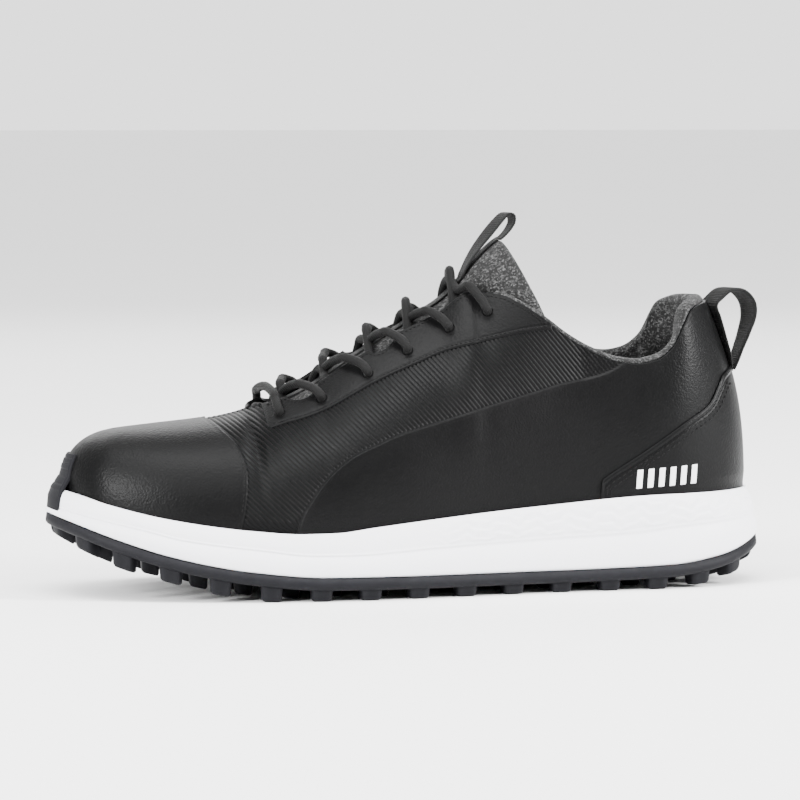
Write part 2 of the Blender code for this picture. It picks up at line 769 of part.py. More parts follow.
heel_overlay = heel_sheet("heel_overlay", OVERLAY_FIRST, HEEL, LAP + OVERLAY, OVERLAY, BLACK_LEATHER, 33, 6, 0.085)
COUNTER_FIRST = {side: station(side, 0.088 * SX) for side in SIDES}
COUNTER_TOP = {side: (lambda s: 0.50) for side in SIDES}
COUNTER_DEPTH = -LEATHER - LAP
heel_counter = heel_sheet(
    "heel_counter", COUNTER_FIRST, COUNTER_TOP, COUNTER_DEPTH, STIFFENER, BOARD_TAN, 21, 4, 0.04
)
FOAM_FIRST = {side: station(side, 0.070 * SX) for side in SIDES}
FOAM_TOP = {side: (lambda s: 0.955) for side in SIDES}
collar_foam = heel_sheet("collar_foam", FOAM_FIRST, FOAM_TOP, -LEATHER - LAP, FOAM, INNER_FOAM, 27, 5, 0.66)

# ---------------------------------------------------------------- knit bootie

LINING_NEAR = LEATHER + STIFFENER + 2 * LAP
LINING_FAR = LEATHER + FOAM + 2 * LAP
TOE_LINING = LEATHER + STIFFENER + 4 * LAP
RIM_FIRST = {side: station(side, 0.062 * SX) for side in SIDES}


def lining_depth(side, s, v):
    swell = ease(0.50, 0.65, v) * ease(station(side, 0.056 * SX), station(side, 0.0695 * SX), s)
    return blend(LINING_NEAR, LINING_FAR, swell)


def lining_section(side, s):
    """Closed section of the lining: up the foot side, over the collar as a rolled rim, down behind."""
    open_top = ease(station(side, 0.0585 * SX), station(side, 0.0645 * SX), s)
    top = blend(0.60, 1.0, open_top)
    up = spread(LOW + 0.012, top, 7)
    inside = [skin(side, s, v, -lining_depth(side, s, v) - KNIT) for v in up]
    behind = [skin(side, s, v, -lining_depth(side, s, v)) for v in up[::-1]]
    n = outward(side, s, top)
    rise = np.cross(n, np.cross([0, 0, 1.0], n))
    rise /= np.linalg.norm(rise)
    head = wall(side, s, top)
    near, far = lining_depth(side, s, top) + KNIT, LEATHER + LAP
    roll = open_top
    heel_rise = RIM_HEIGHT * (1 + 0.5 * ease(0.86, 0.97, s))
    rim = []
    for angle in spread(0.15, 0.85, 4) * math.pi:
        mid = (near + far) / 2
        half = (near - far) / 2
        full = head - n * (mid + half * math.cos(angle)) + rise * heel_rise * math.sin(angle)
        flat = head - n * (near - KNIT * angle / math.pi) + rise * 0.2 * MM
        rim.append(blend(flat, full, roll))
    lip_out = head - n * blend(near - KNIT, far, roll) + rise * blend(0.1 * MM, 0.1 * MM, roll)
    lip_in = head - n * blend(near - KNIT, LINING_FAR, roll) + rise * blend(0.05, -0.0, roll) * MM
    return inside + rim + [lip_out, lip_in] + behind[1:]


def lining_rings():
    rings = []
    around = [0.0565, 0.0585, 0.0600, 0.0615, 0.0630, 0.0645, 0.0665, 0.0700]
    for side in SIDES:
        even = list(spread(station(side, -0.050 * SX), 1, 26))
        places = sorted(even + [station(side, x * SX) for x in around])
        run = [lining_section(side, s) for s in places]
        rings += run if side < 0 else run[-2::-1]
    return rings


bootie = loft("bootie", lining_rings(), GREY_KNIT)


def vamp_lining_end(side):
    return lambda v: min(blend(station(side, -0.053 * SX), SPINE_END - 0.004, ease(0.4, 0.72, v)), 1)


VAMP_LINING_END = {side: vamp_lining_end(side) for side in SIDES}
vamp_lining = cap_sheet("vamp_lining", VAMP_LINING_END, -TOE_LINING, KNIT, GREY_KNIT, 12, 8)

# ---------------------------------------------------------------- tongue

TONGUE_DROP = LEATHER + STIFFENER + 2 * LACE_RADIUS + 8 * GAP
TONGUE_STATIONS = [-61, -50, -38, -24, -8, 8, 20, 31, 40, 47, 53, 57.5]
CROWN_LINE = [(-62, 72.5), (-50, 77.6), (-38, 83.6), (-24, 93.2), (-8, 103.2), (7, 112.6), (16, 118.4)]
CROWN_LINE += [(23.5, 125.6), (29.5, 132.8), (34.5, 138.0), (38.2, 141.2), (41, 143)]
CROWN_X = smooth([(a * SX * MM, b[0] * SX * MM) for a, b in zip(TONGUE_STATIONS, CROWN_LINE)])
CROWN = smooth([(a * SX * MM, b[1] * SZ * MM) for a, b in zip(TONGUE_STATIONS, CROWN_LINE)])
BINDING = 0.0008


def tongue_row(x, count=17):
    """Points across the tongue at one station, from its outer flank over the crown to its inner flank."""
    crown = np.array([CROWN_X(x), SPINE(CROWN_X(x)), CROWN(x)])
    lift = ease(0.012 * SX, 0.040 * SX, x)
    row = []
    for t in spread(-1, 1, count):
        side = -1 if t < 0 else 1
        s = station(side, x)
        k = 2 * abs(t)
        if k >= 1:
            row.append(skin(side, s, blend(1.0, 0.80, k - 1), -TONGUE_DROP))
            continue
        brow = skin(side, s, 1.0, -TONGUE_DROP)
        fall = blend(k**2, 1 - math.sqrt(max(1 - k * k, 0)), lift)
        y = blend(crown[1], brow[1], k)
        row.append(np.array([blend(crown[0], brow[0], fall), y, blend(crown[2], brow[2], fall)]))
    return row


def tongue_grid(stations, first=-1.0, last=1.0):
    rows = [tongue_row(x * SX * MM) for x in stations]
    grid = []
    for r, row in enumerate(rows):
        up = rows[min(r + 1, len(rows) - 1)]
        down = rows[max(r - 1, 0)]
        line = []
        for c, p in enumerate(row):
            a = row[min(c + 1, len(row) - 1)] - row[max(c - 1, 0)]
            n = np.cross(up[c] - down[c], a)
            line.append((p, n / np.linalg.norm(n)))
        grid.append(line)
    return grid


grid = tongue_grid(TONGUE_STATIONS)
if grid[4][8][1][2] < 0:
    grid = [[(p, -n) for p, n in row] for row in grid]
tongue = sheet("tongue", grid, TONGUE, GREY_KNIT)

binding_grid = []
for row in grid[1:]:
    p, n = row[8]
    raised = p + n * (GAP + BINDING)
    binding_grid.append([(raised + np.array([0, y * MM, -abs(y) * 0.012 * MM]), n) for y in (-4, -2, 0, 2, 4)])
tongue_binding = sheet("tongue_binding", binding_grid, BINDING, BLACK_WEBBING)

# ---------------------------------------------------------------- loops


def ribbon(name, path, width, thickness, look, twist):
    """Flat webbing along a path of (x, z) points, straight across at its roots and twisted at its free bend."""
    path = np.array(path)
    rows = []
    for i, p in enumerate(path):
        t = path[min(i + 1, len(path) - 1)] - path[max(i - 1, 0)]
        way = np.array([t[0], 0.0, t[1]]) / np.linalg.norm(t)
        turn = math.radians(twist) * math.sin(math.pi * i / (len(path) - 1)) ** 2
        across = np.array([-math.sin(turn), math.cos(turn), 0.0])
        n = np.cross(way, across)
        n /= np.linalg.norm(n)
        ring = []
        for side, y in ((1, -width / 2), (1, width / 2), (-1, width / 2), (-1, -width / 2)):
            ring.append(np.array([p[0], 0.0, p[1]]) + n * side * thickness / 2 + across * y)
        rows.append(ring)
    return loft(name, rows, look)


def rounded(points, count):
    """Smooth open path through the points by chord length."""
    points = np.array(points, float)
    run = np.concatenate([[0], np.cumsum(np.linalg.norm(np.diff(points, axis=0), axis=1))])
    out = []
    for q in spread(0, run[-1], count):
        i = int(np.clip(np.searchsorted(run, q) - 1, 0, len(points) - 2))
        before, after = points[max(i - 1, 0)], points[min(i + 2, len(points) - 1)]
        a, b = points[i], points[i + 1]
        t = (q - run[i]) / (run[i + 1] - run[i])
        ma, mb = (b - before) / 2, (after - a) / 2
        even = a * (1 + 2 * t) * (1 - t) ** 2 + b * t * t * (3 - 2 * t)
        out.append(even + ma * t * (1 - t) ** 2 - mb * t * t * (1 - t))
    return out


HEEL_PATH = []
for v in (0.70, 0.76, 0.84, 0.91, 0.97):
    p = skin(-1, 1.0, v, GAP + WEBBING / 2)
    HEEL_PATH.append((p[0], p[2]))
tip = np.array(HEEL_PATH[-1])
HEEL_ARC = [(2.6, 3.4), (6.8, 6.4), (12.2, 6.0), (16.4, 1.6), (17.2, -4.4), (15.2, -11.6), (12.8, -18.0)]
HEEL_ARC += [(11.2, -22.6)]
HEEL_PATH += [tuple(tip + np.array(d) * MM) for d in HEEL_ARC]
heel_loop = ribbon("heel_loop", rounded(HEEL_PATH, 30), HEEL_WEBBING_WIDTH, WEBBING, BLACK_WEBBING, LOOP_TWIST)

TONGUE_ARC = [(27.2, 135.0), (31, 139), (36, 144.8), (40.4, 150), (43.6, 153), (46.2, 152.6), (46.6, 149.6)]
TONGUE_ARC += [(44.6, 146.6), (42.4, 144.6)]
TONGUE_PATH = rounded(scaled(TONGUE_ARC, SX, SZ), 24)
tongue_loop = ribbon("tongue_loop", TONGUE_PATH, TONGUE_WEBBING_WIDTH, WEBBING * 0.7, BLACK_WEBBING, 6)

# ---------------------------------------------------------------- lace

HOLES = {side: [find(side, x * SX * MM, z * SZ * MM) for x, z in EYELETS] for side in SIDES}
ABOVE = OVERLAY + GAP + LACE_RADIUS + 2 * GAP
BELOW = -(LEATHER + 1.6 * LAP + STIFFENER + LACE_RADIUS + 2 * GAP)


def through(side, k, downward=True):
    """Route through eyelet k, straight along the hole."""
    s, v = HOLES[side][k]
    offs = (0.0030, 0.0010, -0.0012, -0.0036)
    points = [skin(side, s, v, off) for off in offs]
    return points if downward else points[::-1]


TONGUE_TOP = np.array([p for x in spread(-61, 52, 46) for p in tongue_row(x * SX * MM, 25)])


def over_tongue(p, level, f):
    """Lowest height at which the cord clears the tongue, its binding and the strand that it crosses."""
    near = np.hypot(TONGUE_TOP[:, 0] - p[0], TONGUE_TOP[:, 1] - p[1]) < 2.2 * MM
    top = TONGUE_TOP[near, 2].max() if near.any() else -1.0
    strip = BINDING + 6 * GAP if abs(p[1] - SPINE(p[0])) < 7 * MM else 0.0
    lap = 2 * LACE_RADIUS + 2 * GAP if level > 0 and abs(f - 0.5) < 0.2 else 0.0
    return top + strip + lap + LACE_RADIUS + 2 * GAP


def strand(side, k, level):
    """From under eyelet k of one side, out past the throat edge, over the tongue and onto eyelet k + 1 opposite."""
    s, v = HOLES[side][k]
    t, w = HOLES[-side][k + 1]
    s_mid = blend(s, t, 0.06)
    t_mid = blend(s, t, 0.62)
    a = skin(side, s_mid, 1.0, BELOW)
    far = skin(-side, t_mid, 1.0, ABOVE + 0.6 * MM)
    route = [skin(side, blend(s, s_mid, 0.35), blend(v, 1, 0.55), BELOW), a]
    for f in (0.12, 0.25, 0.38, 0.5, 0.62, 0.75, 0.88):
        p = blend(a, far, f)
        p[0] = blend(a[0], far[0], f**2.2)
        p[2] += (8 * f * (1 - f) + level * 1.2 * math.exp(-(((f - 0.5) / 0.2) ** 2))) * MM
        p[2] = max(p[2], over_tongue(p, level, f))
        route.append(p)
    route.append(far)
    route.append(skin(-side, blend(t_mid, t, 0.7), blend(w, 1, 0.42), ABOVE + 0.4 * MM))
    return route


def half_lace(side, level):
    """One half of the lace: down eyelet 0 of a side and across and back to the last eyelet."""
    points = through(side, 0)
    here = side
    for k in range(5):
        points += strand(here, k, level * (-1) ** k)
        here = -here
        points += through(here, k + 1)
    s, v = HOLES[here][5]
    ahead = station(here, 0.0385 * SX)
    last = station(here, 0.0475 * SX)
    points.append(skin(here, blend(s, ahead, 0.55), blend(v, 0.90, 0.5), BELOW - 0.2 * MM))
    points.append(skin(here, ahead, 0.90, BELOW))
    points.append(skin(here, last, 0.89, BELOW))
    return points, here


def bar_points():
    (s, v), (t, w) = HOLES[-1][0], HOLES[1][0]
    a, b = skin(-1, s, blend(v, 1, 0.5), ABOVE + 0.5 * MM), skin(1, t, blend(w, 1, 0.5), ABOVE + 0.5 * MM)
    ends = skin(-1, s, 1, ABOVE + 0.7 * MM), skin(1, t, 1, ABOVE + 0.7 * MM)
    middle = (ends[0] + ends[1]) / 2 + np.array([0, 0, 2.0 * MM])
    return [b, ends[1], middle, ends[0], a]


first_half, left_end = half_lace(-1, 1)
second_half, right_end = half_lace(1, -1)
route = second_half[::-1] + bar_points() + first_half
total = int(sum(np.linalg.norm(np.diff(np.array(route), axis=0), axis=1)) / (2.9 * MM))


def cord(name, points, radius, look, sides=1):
    curve = bpy.data.curves.new(name, "CURVE")
    curve.dimensions = "3D"
    curve.bevel_depth = radius
    curve.bevel_resolution = sides
    curve.use_fill_caps = True
    spline = curve.splines.new("POLY")
    spline.points.add(len(points) - 1)
    for spot, p in zip(spline.points, points):
        spot.co = (*(p - MIDDLE), 1)
    curve.materials.append(look)
    obj = bpy.data.objects.new(name, curve)
    SHOE.objects.link(obj)
    return obj


lace = cord("lace", rounded(route, total), LACE_RADIUS, BLACK_WEBBING)
for name, here in (("aglet_left", left_end), ("aglet_right", right_end)):
    start, stop = station(here, 0.0480 * SX), station(here, 0.0560 * SX)
    tip_points = [skin(here, s, 0.89, BELOW) for s in spread(start, stop, 3)]
    cord(name, tip_points, LACE_RADIUS, BLACK_WEBBING, 2)

# ---------------------------------------------------------------- plain bars on the heel

MARK_FIRST, MARK_LAST, MARK_LOW, MARK_HIGH = 92, 120, 41.6, 49.0


def mark():
    """Row of plain upright bars on one thin foot line, lying on the heel overlay."""
    pitch = (MARK_LAST - MARK_FIRST) / BAR_COUNT
    bar = 0.56 * pitch
    off = OVERLAY + LAP + 2 * GAP
    thick = 0.3 * MM
    heights = (MARK_LOW, MARK_LOW + 1.0, MARK_HIGH)
    points, faces, index = [], [], {}

    def column(i):
        return MARK_FIRST + (i // 2) * pitch + (i % 2) * bar

    def corner(i, level, layer):
        if (i, level, layer) not in index:
            x = column(i) + 0.06 * (heights[level] - MARK_LOW)
            z = heights[level] + 0.05 * (column(i) - MARK_FIRST)
            s, v = find(-1, x * SX * MM, z * SZ * MM)
            index[(i, level, layer)] = len(points)
            points.append(skin(-1, s, v, off + thick * layer))
        return index[(i, level, layer)]

    cells = [(i, 0) for i in range(2 * BAR_COUNT - 1)] + [(2 * k, 1) for k in range(BAR_COUNT)]
    rims = set()
    for i, level in cells:
        loop = [(i, level), (i + 1, level), (i + 1, level + 1), (i, level + 1)]
        faces.append(tuple(corner(*c, 1) for c in loop))
        faces.append(tuple(corner(*c, 0) for c in loop[::-1]))
        rims |= set(zip(loop, loop[1:] + loop[:1]))
    for p, q in sorted(rims):
        if (q, p) not in rims:
            faces.append((corner(*p, 0), corner(*q, 0), corner(*q, 1), corner(*p, 1)))
    return tidy(new_object("heel_mark", points, faces, WHITE_PRINT))


heel_mark = mark()

# ---------------------------------------------------------------- hinges

hinge("tongue_hinge", Vector((-0.0621, 0.005, 0.0700)), tongue, tongue_binding)
hinge("tongue_loop_hinge", Vector((0.0257, 0, 0.1350)), tongue_loop)
hinge("heel_loop_hinge", Vector((0.1392, 0.002, 0.0909)), heel_loop)
hinge("sock_liner_hinge", Vector((-0.1330, 0.0075, 0.0375)), sock_liner)
bpy.context.view_layer.update()
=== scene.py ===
"""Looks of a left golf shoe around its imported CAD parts: pebbled black leather with an embossed ribbed band,
white moulded midsole, black lugged outsole, heather knit collar and tongue, braided lace and webbing loops.

Metres, +Z up, toe towards -X, outer side of the foot towards -Y.
"""

import math

import bmesh
import bpy
import numpy as np
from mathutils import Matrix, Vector


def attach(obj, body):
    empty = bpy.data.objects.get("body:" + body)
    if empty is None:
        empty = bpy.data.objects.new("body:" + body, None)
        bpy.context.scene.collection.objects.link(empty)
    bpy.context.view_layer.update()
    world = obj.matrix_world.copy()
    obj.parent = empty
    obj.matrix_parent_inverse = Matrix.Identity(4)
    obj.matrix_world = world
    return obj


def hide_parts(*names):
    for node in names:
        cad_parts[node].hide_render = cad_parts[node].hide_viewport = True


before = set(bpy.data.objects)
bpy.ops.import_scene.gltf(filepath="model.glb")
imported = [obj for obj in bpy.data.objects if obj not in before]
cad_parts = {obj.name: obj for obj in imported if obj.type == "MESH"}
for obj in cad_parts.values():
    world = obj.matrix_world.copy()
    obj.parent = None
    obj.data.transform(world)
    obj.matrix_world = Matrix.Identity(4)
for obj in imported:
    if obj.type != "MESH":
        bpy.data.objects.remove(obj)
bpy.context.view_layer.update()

MM = 0.001

# Overall sizes, as in the CAD parts
LENGTH = 0.300
DRAWN_LENGTH = 0.3049
SX = LENGTH / DRAWN_LENGTH
MIDDLE = np.array([1.1 * MM * SX, -2.0 * MM, 0.0])
UP = np.array([0.0, 0.0, 1.0])

# Layers
LEATHER = 1.2 * MM
OVERLAY = 0.5 * MM
STIFFENER = 0.9 * MM
KNIT = 1.2 * MM
FOAM = 4.2 * MM
TONGUE = 4.2 * MM
BOARD = 1.5 * MM
LINER = 4.0 * MM
RUBBER = 5.0 * MM
BUMPER = 1.6 * MM
GAP = 0.3 * MM
LAP = 0.6 * MM
FEATHER_INSET = 6.6 * MM
CUP_DEPTH = 5 * MM
CUP_CLEARANCE = 1.1 * MM

# Small features
LUG_SIZE = 8.8 * MM
LACE_RADIUS = 1.85 * MM
LACE_CLEARANCE = 1.5 * MM
HOLE_RADIUS = 1.9 * MM
WEBBING = 1.3 * MM
RIM_HEIGHT = 2.8 * MM
RIB_PITCH = 1.55
RIB_DEPTH = 0.6
LOOP_TWIST = 20
STITCH_LENGTH = 1.9 * MM
STITCH_PITCH = 2.7 * MM
BAR_COUNT = 6

SIDES = (-1, 1)
NAMES = {-1: "lateral", 1: "medial"}


# ---------------------------------------------------------------- curves


def smooth(points):
    """Function through (x, y) points: cubic between them, and never past a neighbour's height."""
    x, y = np.array(points, float).T
    h, d = np.diff(x), np.diff(y) / np.diff(x)
    m = np.zeros(len(x))
    m[0], m[-1] = d[0], d[-1]
    for i in range(1, len(x) - 1):
        if d[i - 1] * d[i] > 0:
            a, b = 2 * h[i] + h[i - 1], h[i] + 2 * h[i - 1]
            m[i] = (a + b) / (a / d[i - 1] + b / d[i])

    def value(q):
        q = np.clip(q, x[0], x[-1])
        i = np.clip(np.searchsorted(x, q) - 1, 0, len(h) - 1)
        t = (q - x[i]) / h[i]
        rise = y[i] * (1 + 2 * t) * (1 - t) ** 2 + y[i + 1] * t * t * (3 - 2 * t)
        return rise + h[i] * (m[i] * t * (1 - t) ** 2 - m[i + 1] * t * t * (1 - t))

    return value


def scaled(points, sx, sy):
    return [(a * sx * MM, b * sy * MM) for a, b in points]


def along(points):
    """A height curve drawn in millimetres over the shoe's length."""
    return smooth(scaled(points, SX, 1))


def blend(a, b, t):
    return a + (b - a) * t


def ease(a, b, x):
    t = np.clip((x - a) / (b - a), 0, 1)
    return t * t * (3 - 2 * t)


def bump(x, middle, width):
    return np.exp(-(((x - middle) / width) ** 2))


def dome(x):
    """Quarter round: 0 at x = 0, level from x = 1."""
    return np.sqrt(1 - (1 - np.clip(x, 0, 1)) ** 2)


def spread(first, last, count):
    return np.linspace(first, last, count)


def unit(v):
    return v / np.maximum(np.linalg.norm(v, axis=-1, keepdims=True), 1e-12)


def rounded(points, count):
    """Smooth open path through the points, evenly spaced by chord length."""
    points = np.array(points, float)
    run = np.concatenate([[0], np.cumsum(np.linalg.norm(np.diff(points, axis=0), axis=1))])
    q = spread(0, run[-1], count)
    i = np.clip(np.searchsorted(run, q) - 1, 0, len(points) - 2)
    before, after = points[np.maximum(i - 1, 0)], points[np.minimum(i + 2, len(points) - 1)]
    a, b = points[i], points[i + 1]
    t = ((q - run[i]) / (run[i + 1] - run[i]))[:, None]
    ma, mb = (b - before) / 2, (after - a) / 2
    even = a * (1 + 2 * t) * (1 - t) ** 2 + b * t * t * (3 - 2 * t)
    return even + ma * t * (1 - t) ** 2 - mb * t * t * (1 - t)


# Plan of the sole: (distance along, distance across), toe tip to heel, outer side then inner side
OUTER_PLAN = [(-149.6, 5), (-141, -19), (-131, -30), (-111, -41), (-91, -47), (-71, -51), (-51, -53.6)]
OUTER_PLAN += [(-31, -54), (-11, -52.5), (9, -49.5), (29, -46), (49, -43), (69, -41), (89, -40)]
OUTER_PLAN += [(109, -38.5), (127, -33), (143, -22), (153.5, 0)]
INNER_PLAN = [(-143, 22.5), (-131, 34.5), (-111, 43.5), (-91, 48), (-71, 50), (-51, 49.5), (-31, 46.5)]
INNER_PLAN += [(-11, 42), (9, 38), (29, 35.6), (49, 35), (69, 36), (89, 37.6)]
INNER_PLAN += [(109, 37.6), (127, 33), (143, 22)]

# Heights along the shoe
LUG_BASE = along(
    [(-151, 27), (-137, 19), (-121, 12), (-106, 8), (-87, 3.2), (-60, 0)]
    + [(96, 0), (123, 1.6), (136, 4.4), (154, 13)]
)
SOLE_LINE = along(
    [(-151, 33), (-142, 30), (-125, 24), (-109, 19), (-89, 14.4), (-74, 12), (-42, 9.4), (60, 8.9)]
    + [(106, 9.8), (130, 12.6), (154, 19)]
)
CREASE = along(
    [(-151, 36), (-139, 33.6), (-113, 28), (-101, 25), (-69, 20.8), (-47, 18.4), (-31, 18.3), (1, 20)]
    + [(50, 22), (88, 23.4), (110, 25.6), (154, 28)]
)
RIM = along(
    [(-151, 43), (-145, 42), (-130, 38), (-107, 33), (-73, 28.4), (-52, 27), (-38, 27.2), (-22, 29)]
    + [(2, 31.4), (51, 35.4), (107, 38.8), (146, 39), (154, 39)]
)
SPINE = along([(-151, 5), (-100, 4.5), (-40, 2), (40, 0), (154, 0)])

# Top line of the leather: sole station, then point (along, half width from the spine, height)
TOP_LINE = [(-150.5, -121, 0, 65.8), (-146, -120, 0, 66), (-138, -117, 0, 66.4), (-125, -110, 0, 67.2)]
TOP_LINE += [(-110, -101, 0, 68.2), (-92, -88, 0, 69.6), (-78, -77, 0, 71.4), (-67, -67, 0.2, 74)]
TOP_LINE += [(-62, -63.5, 9, 75.6), (-55, -56, 14.5, 78), (-42, -42, 17.5, 83.5), (-29, -29, 17.5, 91.5)]
TOP_LINE += [(-6, -6, 15.5, 104.5), (12, 12, 14, 113), (26, 26, 14.5, 121.4), (36, 36, 20, 120.6)]
TOP_LINE += [(46, 46, 25, 116), (54, 54, 27.6, 110.6), (64, 64, 29.6, 103), (75, 75, 31, 96.8)]
TOP_LINE += [(85, 85, 31.6, 93.2), (93, 93, 31.4, 92.2), (103, 102, 30.6, 94), (112, 109, 29.2, 99)]
TOP_LINE += [(121, 114, 27, 107.5), (132, 119, 22.6, 114), (144, 126, 14, 116.4), (153, 131, 0, 116.6)]

# Side view edges of the panels: (along, height) in millimetres
CAP_EDGE = [(-77, 26), (-75, 34), (-73.5, 44), (-73, 54), (-75, 61), (-80, 67), (-83, 71)]
STAY_EDGE = [(-67, 73), (-63, 68), (-54, 70), (-39, 75), (-18, 86), (1, 94), (14, 99), (25, 101.5), (42, 105)]
STAY_EDGE += [(56, 106.5)]
HEEL_EDGE = [(76, 34), (75.5, 42), (78, 46), (96, 57), (113, 68)]
HEEL_EDGE += [(124, 74.5), (129, 81), (133, 86.5), (140, 89.5)]
PANEL_EDGE = [(-55, 10), (-53, 30), (-48, 40), (-41, 49), (-31, 57), (-20, 62), (-10, 66), (12, 72), (34, 78)]
PANEL_EDGE += [(57, 84), (86, 92.5), (100, 120)]
EYELETS = [(-56, 73), (-39, 79), (-20, 89), (-3, 98), (15, 107), (31, 113.6)]
SCALLOPS = [(-47.5, 5.2), (-13.5, 4.6)]


def closed_outline():
    """Dense closed loop through the plan points, toe tip first, running along the outer side."""
    knots = np.array(OUTER_PLAN + INNER_PLAN[::-1], float) * [SX * MM, MM]
    n = len(knots)
    step = np.linalg.norm(np.roll(knots, -1, 0) - knots, axis=1) ** 0.5
    matrix = np.zeros((n, n))
    right = np.zeros((n, 2))
    for i in range(n):
        before, after = step[i - 1], step[i]
        matrix[i, i - 1] += after
        matrix[i, i] += 2 * (before + after)
        matrix[i, (i + 1) % n] += before
        back = (knots[i] - knots[i - 1]) / before
        ahead = (knots[(i + 1) % n] - knots[i]) / after
        right[i] = 3 * (after * back + before * ahead)
    slope = np.linalg.solve(matrix, right)
    t = np.linspace(0, 1, 40, endpoint=False)[:, None]
    loop = []
    for i in range(n):
        j, h = (i + 1) % n, step[i]
        ends = knots[i] * (1 + 2 * t) * (1 - t) ** 2 + knots[j] * t * t * (3 - 2 * t)
        loop.append(ends + h * (slope[i] * t * (1 - t) ** 2 - slope[j] * t * t * (1 - t)))
    return np.concatenate(loop)


def split_outline():
    """For each side: stations from 0 (toe tip) to 1 (heel), plan points and outward normals."""
    loop = closed_outline()
    loop = np.roll(loop, -int(loop[:, 0].argmin()), axis=0)
    heel = int(loop[:, 0].argmax())
    halves = {-1: loop[: heel + 1], 1: np.concatenate([loop[heel:], loop[:1]])[::-1]}
    found = {}
    for side, half in halves.items():
        run = np.concatenate([[0], np.cumsum(np.linalg.norm(np.diff(half, axis=0), axis=1))])
        tangent = np.gradient(half, axis=0)
        normal = unit(np.stack([tangent[:, 1], -tangent[:, 0]], 1) * -side)
        normal[0], normal[-1] = (-1, 0), (1, 0)
        found[side] = (run / run[-1], half, normal)
    return found


HALVES = split_outline()


def plan(side, s, out=0.0):
    """Plan points at stations s of a side, moved outward by out, and their normals."""
    run, half, normal = HALVES[side]
    n = unit(np.stack([np.interp(s, run, normal[:, k]) for k in (0, 1)], -1))
    point = np.stack([np.interp(s, run, half[:, k]) for k in (0, 1)], -1)
    return point + n * np.asarray(out)[..., None], n


def station(side, x):
    run, half, _ = HALVES[side]
    return np.interp(x, half[:, 0], run)


def top_curves():
    """The top line's curves by station, the same on both sides so that they meet on the spine."""
    middle = [(station(-1, row[0] * MM * SX) + station(1, row[0] * MM * SX)) / 2 for row in TOP_LINE[1:-1]]
    columns = list(zip(*TOP_LINE))
    factors = (SX * MM, MM, MM)
    return [smooth(list(zip([0] + middle + [1], np.array(c) * k))) for c, k in zip(columns[1:], factors)]


TOP = top_curves()
SPINE_END = float(station(-1, -0.066 * SX) + station(1, -0.066 * SX)) / 2
# How steeply the wall meets the top line, how far it keeps that slope, and how far it bulges
LEAN = smooth(
    [(-0.151, 6), (-0.144, 3), (-0.134, 0), (-0.075, 2), (-0.062, 24), (-0.04, 36), (0.02, 44), (0.04, 60)]
    + [(0.06, 74), (0.09, 80), (0.12, 76), (0.154, 68)]
)
REACH = smooth([(-0.151, 0.50), (-0.08, 0.52), (-0.05, 0.46), (0.02, 0.42), (0.05, 0.36), (0.154, 0.36)])
BULGE = smooth([(-0.151, 1.2), (-0.11, 3), (-0.05, 3.4), (0.02, 2.6), (0.08, 1), (0.154, 0.6)])


def deck(x):
    return RIM(x) - CUP_DEPTH


def wall(side, s, v):
    """Points of the leather's outer face: v = 0 down in the midsole cup, v = 1 on the top line."""
    s, v = np.broadcast_arrays(np.asarray(s, float), np.asarray(v, float))
    flat, n = plan(side, s, -FEATHER_INSET)
    foot = np.concatenate([flat, (deck(flat[..., 0]) + GAP)[..., None]], -1)
    tx, half, tz = (curve(s) for curve in TOP)
    head = np.stack([tx, SPINE(tx) + side * half, tz], -1)
    key = plan(side, s)[0][..., 0] / SX
    away = foot - head
    away[..., 2] = 0
    away = unit(away)
    span = np.linalg.norm(head - foot, axis=-1)
    lean = np.radians(LEAN(key))[..., None]
    slope = away * np.cos(lean) - UP * np.sin(lean)
    low = foot.copy()
    low[..., 2] += 0.5 * (head[..., 2] - foot[..., 2])
    low[..., :2] += n * (BULGE(key) * MM)[..., None]
    high = head + slope * (REACH(key) * span)[..., None]
    v = v[..., None]
    u = 1 - v
    return foot * u**3 + low * 3 * u * u * v + high * 3 * u * v * v + head * v**3


def outward(side, s, v):
    s, v = np.broadcast_arrays(np.asarray(s, float), np.asarray(v, float))
    e = 1e-3
    on_spine = (s < SPINE_END) & (v > 1 - e)
    v = np.where(on_spine, np.minimum(v, 0.97), v)
    ds = wall(side, np.minimum(s + e, 1), v) - wall(side, np.maximum(s - e, 0), v)
    dv = wall(side, s, np.minimum(v + e, 1)) - wall(side, s, np.maximum(v - e, 0))
    n = np.cross(dv, ds) * side
    ends = (s < e) | (s > 1 - e) | on_spine
    n[..., 1] = np.where(ends, 0, n[..., 1])
    return unit(n)


def skin(side, s, v, off=0.0):
    """Points at a height off above (or below) the leather's outer face."""
    return wall(side, s, v) + outward(side, s, v) * np.asarray(off)[..., None]


def find(side, x, z):
    """Stations and height fractions of the wall points seen from the side at (x, z)."""
    x, z = np.asarray(x, float), np.asarray(z, float)
    s, v = station(side, x), np.full(x.shape, 0.5)
    e = 1e-4
    for _ in range(40):
        here = wall(side, s, v)
        js = (wall(side, s + e, v) - here) / e
        jv = (wall(side, s, v + e) - here) / e
        miss_x, miss_z = x - here[..., 0], z - here[..., 2]
        area = js[..., 0] * jv[..., 2] - js[..., 2] * jv[..., 0]
        area = np.where(np.abs(area) < 1e-6, 1e-6, area)
        step_s = (miss_x * jv[..., 2] - miss_z * jv[..., 0]) / area
        step_v = (miss_z * js[..., 0] - miss_x * js[..., 2]) / area
        s = np.clip(s + np.clip(step_s, -0.05, 0.05), 0.001, 0.998)
        v = np.clip(v + np.clip(step_v, -0.15, 0.15), 0.0, 1.0)
    return s, v


def edge(side, points):
    x, z = np.array(points, float).T * MM
    return np.stack(find(side, x * SX, z), 1)


